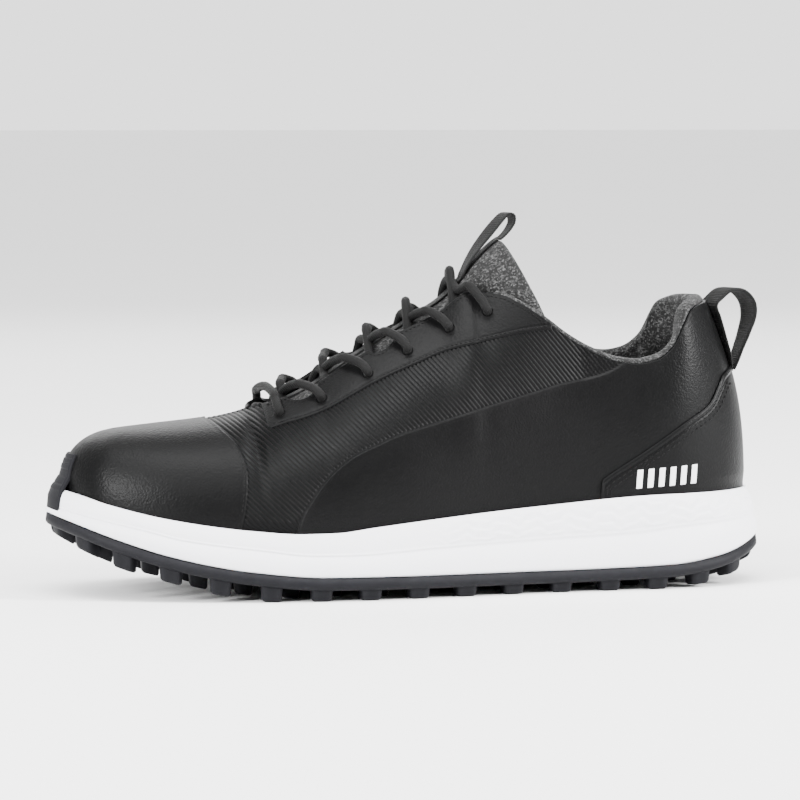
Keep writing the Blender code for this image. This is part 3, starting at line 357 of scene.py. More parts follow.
def by_height(side, points):
    """Station of a rising edge as a function of v."""
    pairs = edge(side, rounded(points, 10 * len(points)))
    pairs = pairs[np.argsort(pairs[:, 1])]
    return lambda q: np.interp(q, pairs[:, 1], pairs[:, 0])


def by_station(side, points):
    """Height fraction of a lengthwise edge as a function of the station."""
    pairs = edge(side, rounded(points, 10 * len(points)))
    pairs = pairs[np.argsort(pairs[:, 0])]
    return lambda q: np.interp(q, pairs[:, 0], pairs[:, 1])


def meeting(points):
    """Rising edges of both sides that come to one station on the spine."""
    own = {side: by_height(side, points) for side in SIDES}

    def pair(side):
        return lambda v: blend(own[side](v), (own[-1](v) + own[1](v)) / 2, ease(0.75, 0.99, v))

    return {side: pair(side) for side in SIDES}


CAP_END = meeting(CAP_EDGE)
STAY = {side: by_station(side, STAY_EDGE) for side in SIDES}
STAY_FIRST = {side: station(side, -0.0625 * SX) for side in SIDES}
STAY_LAST = {side: station(side, 0.056 * SX) for side in SIDES}
HEEL = {side: by_station(side, HEEL_EDGE) for side in SIDES}
HOLES = {side: [find(side, x * SX * MM, z * MM) for x, z in EYELETS] for side in SIDES}
LOW = 0.012


def side_view(points):
    """Millimetres along and up, on the drawing's scale, of points in the drawing's frame."""
    return points[..., 0] / (SX * MM), points[..., 2] / MM


def beside(points, x, z):
    """Distance in millimetres from a side-view line, positive to the right of its direction."""
    line = rounded(points, 8 * len(points))
    best = np.full(x.shape, np.inf)
    hand = np.ones(x.shape)
    for (ax, az), (bx, bz) in zip(line, line[1:]):
        dx, dz = bx - ax, bz - az
        t = np.clip(((x - ax) * dx + (z - az) * dz) / (dx * dx + dz * dz), 0, 1)
        ex, ez = x - ax - t * dx, z - az - t * dz
        far = np.hypot(ex, ez)
        nearer = far < best
        best = np.where(nearer, far, best)
        hand = np.where(nearer, np.sign(dz * ex - dx * ez), hand)
    return best * hand


# ---------------------------------------------------------------- materials


class Value:
    """A node's output; arithmetic on it adds Math nodes to its material."""

    def __init__(self, look, socket):
        self.look, self.socket = look, socket

    def math(self, operation, *terms):
        return self.look.node("ShaderNodeMath", {"operation": operation}, *terms)

    def __add__(self, other):
        return self.math("ADD", self, other)

    def __sub__(self, other):
        return self.math("SUBTRACT", self, other)

    def __rsub__(self, other):
        return self.math("SUBTRACT", other, self)

    def __mul__(self, other):
        return self.math("MULTIPLY", self, other)

    def __truediv__(self, other):
        return self.math("DIVIDE", self, other)

    def __pow__(self, other):
        return self.math("POWER", self, other)

    __radd__ = __add__
    __rmul__ = __mul__


class Look:
    """A material with a Principled shader, built node by node."""

    def __init__(self, name, **constants):
        self.material = bpy.data.materials.new(name)
        self.material.use_nodes = True
        self.tree = self.material.node_tree
        self.shader = self.tree.nodes["Principled BSDF"]
        for key, value in constants.items():
            self.shader.inputs[key.replace("_", " ")].default_value = value

    def node(self, kind, settings, *values, out=0, **named):
        made = self.tree.nodes.new(kind)
        for key, value in settings.items():
            if key == "stops":
                ramp = made.color_ramp
                while len(ramp.elements) < len(value):
                    ramp.elements.new(0.5)
                for element, (place, color) in zip(ramp.elements, value):
                    element.position = place
                    element.color = (*color, 1) if len(color) == 3 else color
            else:
                setattr(made, key, value)
        pairs = list(enumerate(values)) + [(key.replace("_", " "), value) for key, value in named.items()]
        for key, value in pairs:
            if value is None:
                continue
            if isinstance(value, Value):
                self.tree.links.new(value.socket, made.inputs[key])
            else:
                made.inputs[key].default_value = value
        return Value(self, made.outputs[out])

    def feed(self, **links):
        for key, value in links.items():
            self.tree.links.new(value.socket, self.shader.inputs[key.replace("_", " ")])

    def place(self, scale=(1, 1, 1), turn=(0, 0, 0)):
        spot = self.node("ShaderNodeTexCoord", {}, out="Object")
        return self.node("ShaderNodeMapping", {}, spot, Scale=scale, Rotation=turn)

    def noise(self, scale, detail=2.0, roughness=0.5, vector=None, distortion=0.0):
        named = {"Scale": scale, "Detail": detail, "Roughness": roughness, "Distortion": distortion}
        return self.node("ShaderNodeTexNoise", {}, vector or self.place(), out="Fac", **named)

    def cells(self, scale, feature="F1", vector=None, out="Distance"):
        settings = {"feature": feature}
        return self.node("ShaderNodeTexVoronoi", settings, vector or self.place(), Scale=scale, out=out)

    def ramp(self, value, *stops):
        return self.node("ShaderNodeValToRGB", {"stops": stops}, value, out="Color")

    def mix(self, fraction, a, b):
        settings = {"data_type": "RGBA"}
        made = self.node("ShaderNodeMix", settings, fraction, out=2)
        owner = made.socket.node
        for slot, value in ((6, a), (7, b)):
            if isinstance(value, Value):
                self.tree.links.new(value.socket, owner.inputs[slot])
            else:
                owner.inputs[slot].default_value = (*value, 1)
        return made

    def relief(self, height, distance, strength=1.0, under=None):
        named = {"Height": height, "Distance": distance, "Strength": strength, "Normal": under}
        return self.node("ShaderNodeBump", {}, **named)


def grey(level, tint=0.0):
    return (level, level * (1 + tint * 0.2), level * (1 + tint))


def worn(look, scale):
    """0 on flat or hollow places, up to 1 on raised edges."""
    point = look.node("ShaderNodeNewGeometry", {}, out="Pointiness")
    edges = look.node("ShaderNodeMapRange", {}, point, 0.52, 0.60, 0.0, 1.0)
    return edges * look.noise(scale, 3.0)


def painted_groove_shade(look):
    """Mask for painted shade: 1 deep in a groove, 0 elsewhere."""
    point = look.node("ShaderNodeNewGeometry", {}, out="Pointiness")
    return look.node("ShaderNodeMapRange", {}, point, 0.46, 0.36, 0.0, 1.0)


def leather_look(name, grain=1.0, color=0.0018):
    look = Look(name, Specular_IOR_Level=0.085, IOR=1.5)
    pebbles = look.cells(1250, "SMOOTH_F1")
    folds = look.noise(420, 4.0, 0.6, distortion=0.4)
    pores = look.noise(3200, 1.0)
    grainy = pebbles * 0.9 + folds * 0.7 + pores * 0.25
    drift = look.noise(28, 3.0)
    edges = worn(look, 240)
    base = look.mix(drift * 0.8 + folds * 0.2, grey(color * 0.8, 0.06), grey(color * 1.35, 0.06))
    base = look.mix(edges * 0.5, base, grey(color * 2.6, 0.05))
    # Painted shade: grooves and hollows are darkened to near black.
    base = look.mix(painted_groove_shade(look), base, grey(color * 0.05))
    look.feed(
        Base_Color=base,
        Roughness=0.30 + drift * 0.12 + folds * 0.1 + edges * 0.08,
        Normal=look.relief(grainy, 0.00016 * grain, 0.75),
    )
    return look.material


def foam_look():
    look = Look("midsole_foam", Subsurface_Weight=0.08, Subsurface_Radius=(0.004, 0.003, 0.0025))
    skin_grain = look.noise(900, 3.0, 0.6)
    drift = look.noise(16, 3.0)
    scuffs = look.noise(70, 6.0, 0.7, look.place((1, 1, 6)))
    dirt = look.node("ShaderNodeMapRange", {}, scuffs, 0.58, 0.78, 0.0, 1.0)
    base = look.mix(drift, (0.86, 0.86, 0.89), (0.81, 0.81, 0.85))
    base = look.mix(dirt * 0.12, base, (0.6, 0.6, 0.62))
    look.feed(Base_Color=base, Roughness=0.48 + drift * 0.12, Normal=look.relief(skin_grain, 0.00008, 0.6))
    return look.material


def rubber_look():
    look = Look("outsole_rubber", Specular_IOR_Level=0.1)
    grain = look.noise(1400, 3.0, 0.6)
    drift = look.noise(40, 4.0)
    edges = worn(look, 300)
    base = look.mix(drift, (0.003, 0.003, 0.004), (0.006, 0.006, 0.0075))
    base = look.mix(edges * 0.4, base, (0.035, 0.035, 0.04))
    look.feed(Base_Color=base, Roughness=0.5 + drift * 0.2, Normal=look.relief(grain, 0.0001, 0.6))
    return look.material


def knit_look(name, dark=0.005, light=0.17, stitch=1.0):
    """Heather jersey: fine rows of loops, each yarn black, grey or nearly white."""
    look = Look(name, Sheen_Weight=0.04, Sheen_Roughness=0.5, Specular_IOR_Level=0.15)
    yarn = look.cells(1500, out="Color")
    tone = look.node("ShaderNodeSeparateColor", {}, yarn, out="Red")
    flecks = look.noise(1900, 2.0, 0.7)
    clouds = look.noise(260, 3.0, 0.6)
    shade = tone * 0.55 + flecks * 0.55 + clouds * 0.35
    blacks = ((0.0, grey(dark)), (0.56, grey(dark * 2.4)))
    greys = ((0.72, grey(light * 0.22)), (0.86, grey(light * 0.55)))
    base = look.ramp(shade / 1.25, *blacks, *greys, (1.0, grey(light)))
    loops = look.cells(1700, "SMOOTH_F1", look.place((1, 1, 0.75)))
    fuzz = look.noise(2600, 2.0, 0.8)
    look.feed(
        Base_Color=base,
        Roughness=0.86 + flecks * 0.12,
        Normal=look.relief(loops * 0.8 + fuzz * 0.6, 0.0003 * stitch, 0.9),
    )
    return look.material


def woven_look(name, color, pitch, turn=0.0, sheen=0.03):
    """Tight plain weave of shiny filaments."""
    look = Look(name, Sheen_Weight=sheen, Sheen_Roughness=0.4, Specular_IOR_Level=0.09)
    threads = []
    for axis in (0, 1):
        place = look.place(turn=(0, turn, 0.7 if axis else -0.7))
        settings = {"wave_type": "BANDS", "bands_direction": "DIAGONAL"}
        wave = look.node("ShaderNodeTexWave", settings, place, Scale=pitch, Distortion=0.6, out="Fac")
        threads.append(wave)
    weave = threads[0] * threads[1]
    drift = look.noise(120, 3.0)
    fibre = look.noise(2400, 2.0, 0.7)
    base = look.mix(drift * 0.5 + weave * 0.5, grey(color * 0.6), grey(color * 1.5))
    base = look.mix((fibre ** 3.0) * 0.6, base, grey(color * 4))
    weft = look.relief(weave + fibre * 0.4, 0.00018, 0.8)
    look.feed(Base_Color=base, Roughness=0.62 + weave * 0.2, Normal=weft)
    return look.material


def board_look(name, light, dark, roughness=0.85):
    look = Look(name)
    fibre = look.noise(300, 5.0, 0.7, look.place((1, 4, 1)))
    specks = look.noise(1500, 2.0)
    look.feed(
        Base_Color=look.mix(fibre * 0.7 + specks * 0.3, dark, light),
        Roughness=roughness - 0.1 + specks * 0.15,
        Normal=look.relief(fibre + specks, 0.0001, 0.6),
    )
    return look.material


def print_look():
    look = Look("white_print", Specular_IOR_Level=0.4)
    chips = look.noise(800, 4.0, 0.7)
    drift = look.noise(60, 2.0)
    look.feed(
        Base_Color=look.mix(drift, (0.80, 0.80, 0.81), (0.88, 0.88, 0.88)),
        Roughness=0.42 + chips * 0.15,
        Normal=look.relief(chips, 0.00004, 0.5),
    )
    return look.material


LEATHER_LOOK = leather_look("black_leather")
CAP_LOOK = leather_look("toe_cap_leather", 1.15)
THREAD_LOOK = woven_look("black_thread", 0.003, 1500)
FOAM_LOOK = foam_look()
RUBBER_LOOK = rubber_look()
KNIT_LOOK = knit_look("heather_knit")
WEBBING_LOOK = woven_look("black_webbing", 0.007, 900)
LACE_LOOK = woven_look("lace_braid", 0.005, 700)
BINDING_LOOK = woven_look("tongue_tape", 0.005, 1000)
INSOLE_LOOK = knit_look("insole_jersey", 0.03, 0.2, 0.6)
BOARD_LOOK = board_look("fibre_board", (0.5, 0.42, 0.3), (0.36, 0.29, 0.2))
PADDING_LOOK = board_look("padding", (0.5, 0.5, 0.46), (0.4, 0.4, 0.36), 0.95)
BACKER_LOOK = board_look("backer", (0.02, 0.02, 0.022), (0.012, 0.012, 0.013))
SHANK_LOOK = board_look("shank_plastic", (0.2, 0.2, 0.21), (0.12, 0.12, 0.13), 0.5)
PRINT_LOOK = print_look()


# ---------------------------------------------------------------- mesh helpers


def quads(rows, columns, around=False):
    r = np.arange(rows - 1)[:, None]
    c = np.arange(columns if around else columns - 1)[None, :]
    d = (c + 1) % columns
    corners = [r * columns + c, r * columns + d, (r + 1) * columns + d, (r + 1) * columns + c]
    return np.stack(corners, -1).reshape(-1, 4)


def piece(name, parts, look, body, replaced=(), weld=True):
    """One smooth-shaded object from (points, faces) parts drawn in the shoe's own frame."""
    points, faces, count = [], [], 0
    for some, quad in parts:
        some = np.asarray(some, float).reshape(-1, 3)
        faces += [tuple(int(i) + count for i in f) for f in quad]
        points.append(some)
        count += len(some)
    mesh = bpy.data.meshes.new(name)
    mesh.from_pydata((np.concatenate(points) - MIDDLE).tolist(), [], faces)
    bm = bmesh.new()
    bm.from_mesh(mesh)
    if weld:
        bmesh.ops.remove_doubles(bm, verts=bm.verts, dist=2e-6)
    bmesh.ops.dissolve_degenerate(bm, edges=bm.edges, dist=1e-6)
    bmesh.ops.recalc_face_normals(bm, faces=bm.faces)
    bm.to_mesh(mesh)
    bm.free()
    mesh.shade_smooth()
    mesh.materials.append(look)
    obj = bpy.data.objects.new(name, mesh)
    bpy.context.scene.collection.objects.link(obj)
    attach(obj, body)
    if replaced:
        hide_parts(*replaced)
    return obj


def sheet_part(grid):
    return grid, quads(grid.shape[0], grid.shape[1])


def capped(rings):
    """Closed body through closed rings, with a flat cap over both ends."""
    rows, columns = rings.shape[:2]
    faces = [tuple(f) for f in quads(rows, columns, around=True)]
    faces.append(tuple(range(columns))[::-1])
    faces.append(tuple(range((rows - 1) * columns, rows * columns)))
    return rings, faces


# ---------------------------------------------------------------- leather upper

TURNED = np.array([0.0, -0.25, -0.7, -1.15, -1.35, -1.4])
TURNED_DROP = np.array([0.0, 0.0, 0.0, 0.1, 1.2, 5.0])


def throat_top(side, s):
    """Height fraction of the leather's top edge: level, but for the scallops on each side of the throat."""
    top = np.ones(np.shape(s))
    for x, depth in SCALLOPS:
        middle = station(side, x * SX * MM)
        tall = float(np.linalg.norm(wall(side, middle, 1.0) - wall(side, middle, 0.8)) / MM / 0.2)
        reach = 6.2 * MM / HALF_LENGTH[side]
        near = np.clip(1 - ((s - middle) / reach) ** 2, 0, 1)
        top = top - depth / tall * near**0.75
    return top


HALF_LENGTH = {}
for side in SIDES:
    _, half, _ = HALVES[side]
    HALF_LENGTH[side] = float(np.linalg.norm(np.diff(half, axis=0), axis=1).sum())


def rib_lines(x, z):
    """Height of the embossed ribs, 0 in a groove and 1 on a ridge, and how strong the ribs are there."""
    turn = np.radians(43 + 8 * ease(-40, 110, 0.7 * x + 0.7 * z))
    across = (x * np.sin(turn) + z * np.cos(turn)) / RIB_PITCH
    off_groove = np.abs(across - np.round(across)) * RIB_PITCH
    ridge = 1 - np.exp(-((off_groove / 0.34) ** 2))
    return ridge, blend(1, 0.5, ease(35, 75, x))


def body_relief(side, s, v, points):
    """Height of the main leather above its base face, in metres."""
    x, z = side_view(points)
    inside = beside(PANEL_EDGE, x, z)
    ridge, strength = rib_lines(x, z)
    band = ease(0.0, 0.7, -inside) * strength
    height = 0.5 * ease(-0.25, 0.55, inside) + 0.16 * bump(inside, 0.9, 0.6) - 0.2 * bump(inside, -0.5, 0.4)
    height = height - RIB_DEPTH * (1 - ridge) * band
    for hole_s, hole_v in HOLES[side]:
        away = np.linalg.norm(points - wall(side, hole_s, hole_v), axis=-1)
        height = height - 3.2 * (1 - ease(1.7 * MM, 2.5 * MM, away))
    return height * MM


def turned_rows(side, s, top, lift):
    """Points that roll over the leather's top edge and run back down its inner face."""
    rows = []
    tall = np.linalg.norm(wall(side, s, 1.0) - wall(side, s, 0.8), axis=-1) / 0.2
    open_edge = ease(SPINE_END - 0.002, SPINE_END + 0.006, s)
    for off, drop in zip(TURNED, TURNED_DROP):
        v = top - open_edge * drop * MM / tall
        rows.append(skin(side, s, v, lift + open_edge * off * MM))
    return rows


def body_side(side):
    columns = np.concatenate([spread(0, 0.60, 470)[:-1], spread(0.60, 1.0, 120)])
    rows = np.concatenate([spread(LOW, 0.12, 16)[:-1], spread(0.12, 1.0, 235)])
    cap = CAP_END[side](rows) - 0.004
    s = cap[:, None] + (1 - cap[:, None]) * columns[None, :]
    v = rows[:, None] * throat_top(side, s)
    v = np.where(rows[:, None] > 0.5, blend(rows[:, None], v, ease(0.5, 1.0, rows[:, None])), rows[:, None])
    base = wall(side, s, v)
    lift = body_relief(side, s, v, base)
    grid = base + outward(side, s, v) * lift[..., None]
    rolled = turned_rows(side, s[-1], v[-1], lift[-1] * 0)
    return sheet_part(np.concatenate([grid[:-1], np.array(rolled)]))


upper = piece(
    "upper_leather",
    [body_side(side) for side in SIDES],
    LEATHER_LOOK,
    "shell",
    ("quarter_lateral", "quarter_medial", "vamp"),
)


def toe_cap():
    rows = spread(LOW, 1.0, 90)
    grid = []
    for t in spread(-1, 1, 331):
        side = 1 if t > 0 else -1
        s = abs(t) * CAP_END[side](rows)
        back = (1 - abs(t)) * CAP_END[side](rows) * HALF_LENGTH[side] / MM
        lift = (0.62 * dome((back + 0.05) / 0.7) - 0.10 * bump(back, 2.2, 0.7) - 0.05) * MM
        grid.append(skin(side, s, rows, lift))
    return sheet_part(np.array(grid))


piece("toe_cap_leather", [toe_cap()], CAP_LOOK, "shell", ("toe_cap",))


def eyestay(side):
    s = np.broadcast_to(spread(STAY_FIRST[side], STAY_LAST[side], 360)[None, :], (80, 360))
    low = np.minimum(STAY[side](s[0]), 0.985)
    t = spread(0, 1, 80)[:, None]
    v = low + (throat_top(side, s[0]) - low) * t
    base = wall(side, s, v)
    tall = np.linalg.norm(wall(side, s[0], 1.0) - wall(side, s[0], 0.8), axis=-1) / 0.2
    from_low = (v - low) * tall
    from_ends = np.minimum(s - STAY_FIRST[side], STAY_LAST[side] - s) * HALF_LENGTH[side]
    rim = np.minimum(from_low, from_ends) / MM
    lift = OVERLAY * dome(rim / 0.8) - 0.12 * MM * bump(rim, 2.0, 0.45)
    for hole_s, hole_v in HOLES[side]:
        away = np.linalg.norm(base - wall(side, hole_s, hole_v), axis=-1)
        lift = lift - 3.0 * MM * (1 - ease(0.7 * HOLE_RADIUS, HOLE_RADIUS, away))
        lift = lift + 0.12 * MM * bump(away, HOLE_RADIUS + 0.5 * MM, 0.4 * MM)
    grid = base + outward(side, s, v) * lift[..., None]
    rolled = turned_rows(side, s[-1], v[-1], lift[-1])
    return sheet_part(np.concatenate([grid[:-1], np.array(rolled)]))


for side in SIDES:
    name = NAMES[side]
    replaced = (f"eyestay_{name}",)
    piece(f"eyestay_{name}_leather", [eyestay(side)], LEATHER_LOOK, "shell", replaced)


OVERLAY_FIRST = {side: station(side, 0.0765 * SX) for side in SIDES}


def heel_height(points):
    x, z = side_view(points)
    inside = beside(HEEL_EDGE, x, z)
    lift = 0.75 * dome((inside + 0.3) / 0.8) + 0.4 * bump(inside, 1.1, 0.75) - 0.3 * bump(inside, 2.5, 0.4)
    return lift * MM


def heel_overlay():
    grid = []
    for t in spread(-1, 1, 381):
        side = -1 if t < 0 else 1
        s = blend(1, OVERLAY_FIRST[side], abs(t))
        v = spread(0.02, float(HEEL[side](s)), 110)
        s = np.full(v.shape, s)
        base = wall(side, s, v)
        lift = heel_height(base) * blend(0.4, 1.0, ease(0.05, 0.10, v)) + 0.45 * MM
        first = (1 - abs(t)) * (1 - OVERLAY_FIRST[side]) * HALF_LENGTH[side]
        lift = np.where(first < 0.8 * MM, lift * dome(first / (0.8 * MM)), lift)
        grid.append(base + outward(side, s, v) * lift[:, None])
    return sheet_part(np.array(grid))


piece("heel_overlay_leather", [heel_overlay()], LEATHER_LOOK, "shell", ("heel_overlay",))


# ---------------------------------------------------------------- stitches


# Each section of a stitch: place along it, share of its radius, and height in radii
SPINDLE = ((0, 0.35, -0.6), (0.15, 0.8, 0.0), (0.5, 1.0, 0.35), (0.85, 0.8, 0.0), (1, 0.35, -0.6))


def stitch(start, stop, n, radius):
    """One thread lying on the leather: a short spindle sunk at both ends."""
    way = unit(stop - start)
    across = np.cross(n, way)
    rings = []
    for t, swell, rise in SPINDLE:
        middle = start + (stop - start) * t + n * rise * radius
        angles = spread(0, 2 * math.pi, 7)[:-1]
        rings.append([middle + radius * swell * (across * math.cos(a) + n * math.sin(a)) for a in angles])
    return capped(np.array(rings))


def at_run(place, run, rows):
    """Point of a path, or its normal, at a length along it."""
    return np.array([np.interp(place, run, rows[:, k]) for k in range(3)])


def stitch_row(points, normals, radius=0.27 * MM, pitch=STITCH_PITCH):
    """Stitches at an even pitch along a dense path on the leather."""
    run = np.concatenate([[0], np.cumsum(np.linalg.norm(np.diff(points, axis=0), axis=1))])
    made = []
    for q in np.arange(0.4 * MM, run[-1] - STITCH_LENGTH, pitch):
        start, stop = at_run(q, run, points), at_run(q + 0.7 * pitch, run, points)
        n = unit(at_run(q + 0.35 * pitch, run, normals))
        made.append(stitch(start, stop, n, radius))
    return made


def offset_line(points, distance):
    """Side-view line moved to the right of its direction."""
    line = rounded(points, 90)
    way = unit(np.gradient(line, axis=0))
    return line + np.stack([way[:, 1], -way[:, 0]], 1) * distance


def on_leather(side, line, height):
    s, v = find(side, line[:, 0] * SX * MM, line[:, 1] * MM)
    base = wall(side, s, v)
    n = outward(side, s, v)
    return base + n * height(base)[:, None], n


def heel_stitches():
    made = []
    for side in SIDES:
        for inset in (3.4, 5.2):
            line = offset_line(HEEL_EDGE[:-1], inset)
            line = line[line[:, 1] > RIM(line[:, 0] * SX * MM) / MM + 0.8]
            made += stitch_row(*on_leather(side, line, lambda p: heel_height(p) + 0.5 * MM))
    return made


def throat_stitches():
    """Rows along the eyestay: just inside its lower edge and just below the throat's edge."""
    made = []
    for side in SIDES:
        s = spread(STAY_FIRST[side] + 0.004, STAY_LAST[side] - 0.004, 260)
        tall = np.linalg.norm(wall(side, s, 1.0) - wall(side, s, 0.8), axis=-1) / 0.2
        for v in (np.minimum(STAY[side](s), 0.985) + 1.5 * MM / tall, throat_top(side, s) - 1.5 * MM / tall):
            n = outward(side, s, v)
            made += stitch_row(wall(side, s, v) + n * (OVERLAY + 0.02 * MM), n, 0.2 * MM, 1.9 * MM)
    return made


def cap_stitches():
    made = []
    for side in SIDES:
        v = spread(0.16, 0.62, 80)
        s = CAP_END[side](v) - 1.3 * MM / HALF_LENGTH[side]
        n = outward(side, s, v)
        made += stitch_row(wall(side, s, v) + n * 0.55 * MM, n, 0.2 * MM, 2.0 * MM)
    return made


seams = heel_stitches() + throat_stitches() + cap_stitches()
piece("upper_stitching", seams, THREAD_LOOK, "shell", weld=False)


# ---------------------------------------------------------------- heel bars

MARK_FIRST, MARK_LAST, MARK_LOW, MARK_HIGH = 91.5, 120.5, 41.2, 49.2


def heel_bars():
    """Plain upright bars, each a thin raised print that follows the leather."""
    pitch = (MARK_LAST - MARK_FIRST) / BAR_COUNT
    made = []
    for k in range(BAR_COUNT):
        grid = []
        for across in spread(0, 1, 9):
            x = MARK_FIRST + (k + 0.56 * across) * pitch
            up = spread(0, 1, 17)
            z = MARK_LOW + (MARK_HIGH - MARK_LOW) * up + 0.06 * (x - MARK_FIRST)
            line = np.stack([x + 0.5 * up, z], 1)
            rim = np.minimum(np.minimum(across, 1 - across) * 0.56 * pitch, np.minimum(up, 1 - up) * 8)
            lift = (0.52 + 0.22 * dome(rim / 0.35) - 0.18 * (rim <= 0)) * MM
            spots, _ = on_leather(-1, line, lambda p, lift=lift: heel_height(p) + lift)
            grid.append(spots)
        made.append(sheet_part(np.array(grid)))
    return made


piece("heel_print_bars", heel_bars(), PRINT_LOOK, "shell", ("heel_mark",), weld=False)


# ---------------------------------------------------------------- sole unit


def wall_out(part, x):
    """Outward place of the midsole's side: bottom edge (0), crease (1) and rim (2)."""
    tail = ease(0.10 * SX, 0.154 * SX, x)
    return {0: -0.6 + 0 * x, 1: -1.6 + 0 * x, 2: -3.4 - 2.2 * tail}[part] * MM


def sole_profile(x, level):
    """(outward, height) on the midsole's side wall, level 0 at the bottom edge, 1 crease, 2 rim."""
    low, mid, top = SOLE_LINE(x) + GAP, CREASE(x), RIM(x)
    if level <= 1:
        out = blend(wall_out(0, x), wall_out(1, x), level) + 4 * level * (1 - level) * 1.1 * MM
        return out, blend(low, mid, level)
    t = level - 1
    out = blend(wall_out(1, x), wall_out(2, x), t) + 4 * t * (1 - t) * 0.7 * MM
    return out, blend(mid, top, t)


def ring_places(count):
    """Stations of both sides, once round the sole from the toe tip."""
    s = (1 - np.cos(spread(0, math.pi, count + 1))) / 2
    s = 0.5 * s + 0.5 * spread(0, 1, count + 1)
    return s[:-1], s[:0:-1]


def ring(places, out, z):
    """One closed ring: out and z are functions of x along the sole and of the side."""
    halves = []
    for side, s in zip(SIDES, places):
        x = plan(side, s)[0][:, 0]
        flat = plan(side, s, out(x, side))[0]
        halves.append(np.concatenate([flat, (z(x) + 0 * flat[:, 0])[:, None]], 1))
    return np.concatenate(halves)


def facing_cap(count, offset, flip):
    """Strips over a ring of 2 * count points whose sides face each other."""
    total = 2 * count
    faces = []
    for i in range(count):
        corners = (i, i + 1, (total - i - 1) % total, (total - i) % total)
        quad = list(dict.fromkeys(offset + q for q in corners))
        faces.append(tuple(quad[::-1] if flip else quad))
    return faces


def ringed_body(rings, count):
    rings = np.array(rings)
    faces = [tuple(f) for f in quads(len(rings), 2 * count, around=True)]
    faces += facing_cap(count, 0, True) + facing_cap(count, (len(rings) - 1) * 2 * count, False)
    return rings, faces


def scales(x, side, t):
    """Moulded overlapping wave scales on the upper band, from the waist back to the heel, in millimetres."""
    s = station(side, x) * HALF_LENGTH[side] / MM
    wave = t * 3.4 + 0.32 * np.sin(2 * math.pi * s / 15) + 0.12 * np.sin(2 * math.pi * s / 6.3 + 2)
    step = wave - np.floor(wave)
    slant = s / 7.5 - t * 1.6
    facet = np.abs(slant - np.round(slant))
    there = ease(-6 * MM, 26 * MM, x) * ease(0.06, 0.2, t) * ease(0.98, 0.86, t)
    return (0.7 * step * (1 - ease(0.86, 1.0, step)) + 0.55 * facet) * there


def midsole():
    count = 460
    places = ring_places(count)
    rings = []
    for level in np.concatenate([spread(0, 1, 15)[:-1], spread(1, 2, 34)]):
        t = level - 1

        def out(x, side, level=level, t=t):
            far = sole_profile(x, level)[0]
            lip = 0.35 * MM * bump(level, 1.04, 0.05) - 0.45 * MM * bump(level, 0.97, 0.035)
            soft = -0.5 * MM * ease(1.9, 2.0, level) - 0.5 * MM * ease(0.08, 0.0, level)
            return far + lip + soft + (scales(x, side, t) * MM if t > 0 else 0)

        rings.append(ring(places, out, lambda x, level=level: sole_profile(x, level)[1]))
    cup = -FEATHER_INSET + CUP_CLEARANCE
    rings.append(ring(places, lambda x, side: cup + 0.9 * MM + 0 * x, lambda x: RIM(x) + 0.05 * MM))
    rings.append(ring(places, lambda x, side: cup + 0.2 * MM + 0 * x, lambda x: RIM(x) - 0.3 * MM))
    rings.append(ring(places, lambda x, side: cup + 0 * x, deck))
    return ringed_body(rings, count)


piece("midsole_foam", [midsole()], FOAM_LOOK, "shell", ("midsole",))


def outsole_level(x, step):
    """(outward, height) of the tread's side band from its lower edge (0) to its top edge (5)."""
    top = SOLE_LINE(x)
    low = np.maximum(top - RUBBER, LUG_BASE(x) + 0.6 * MM)
    outs = (-3.0, -1.5, -0.7, 0.0, 0.05, -0.35)
    lifts = (0.0, 0.12, 0.6, 1.5)
    if step < 4:
        return outs[step] * MM + 0 * x, low + lifts[step] * MM
    return outs[step] * MM + 0 * x, blend(low, top, (step - 3) / 2)


def under(x):
    return outsole_level(x, 0)[1]


def lug(center, ahead, half):
    """Chamfered block standing down from the outsole, with a shallow waffle dish in its foot."""
    ax, ay = np.array([*ahead, 0.0]), np.array([-ahead[1], ahead[0], 0.0])
    root = under(center[0]) + 1.2 * MM
    bottom = LUG_BASE(center[0])
    tilt = (LUG_BASE(center[0] + 2 * MM) - LUG_BASE(center[0] - 2 * MM)) / (4 * MM)
    angles = spread(0, 2 * math.pi, 25)[:-1]
    square = np.maximum(np.abs(np.cos(angles)) ** 5 + np.abs(np.sin(angles)) ** 5, 1e-9) ** -0.2
    rings = []
    shape = ((0.45, bottom + 0.35 * MM), (0.55, bottom), (0.74, bottom), (0.82, bottom + 0.25 * MM))
    shape += ((0.93, bottom + 1.0 * MM), (1.0, blend(bottom, root, 0.75)), (1.10, root))
    for k, z in shape:
        spots = np.array([*center, 0]) + np.outer(np.cos(angles) * square, ax) * half[0] * k
        spots = spots + np.outer(np.sin(angles) * square, ay) * half[1] * k
        spots[:, 2] = np.maximum(z + tilt * (spots[:, 0] - center[0]), 0)
        rings.append(spots)
    return capped(np.array(rings))


def lug_blocks():
    blocks = []
    for side in SIDES:
        for k in range(17):
            s = 0.02 + 0.955 * k / 16
            place, n = plan(side, s, -(LUG_SIZE * 0.5 + 1.6 * MM))
            blocks.append(lug(place, np.array([-n[1], n[0]]), (LUG_SIZE * 0.5, LUG_SIZE * 0.45)))
    for row, x in enumerate(np.arange(-0.128, 0.135, 0.0185) * SX):
        outer, inner = plan(-1, station(-1, x))[0][1], plan(1, station(1, x))[0][1]
        room = inner - outer - 2 * (LUG_SIZE + 5.5 * MM)
        number = max(int(room // (LUG_SIZE * 1.9)), 1)
        shift = 0.25 if row % 2 else 0.0
        for k in range(number):
            y = blend(outer, inner, 0.5) + (k - (number - 1) / 2 + shift - 0.125) * room / number
            blocks.append(lug(np.array([x, y]), np.array([1.0, 0.0]), (LUG_SIZE * 0.42, LUG_SIZE * 0.42)))
    return blocks


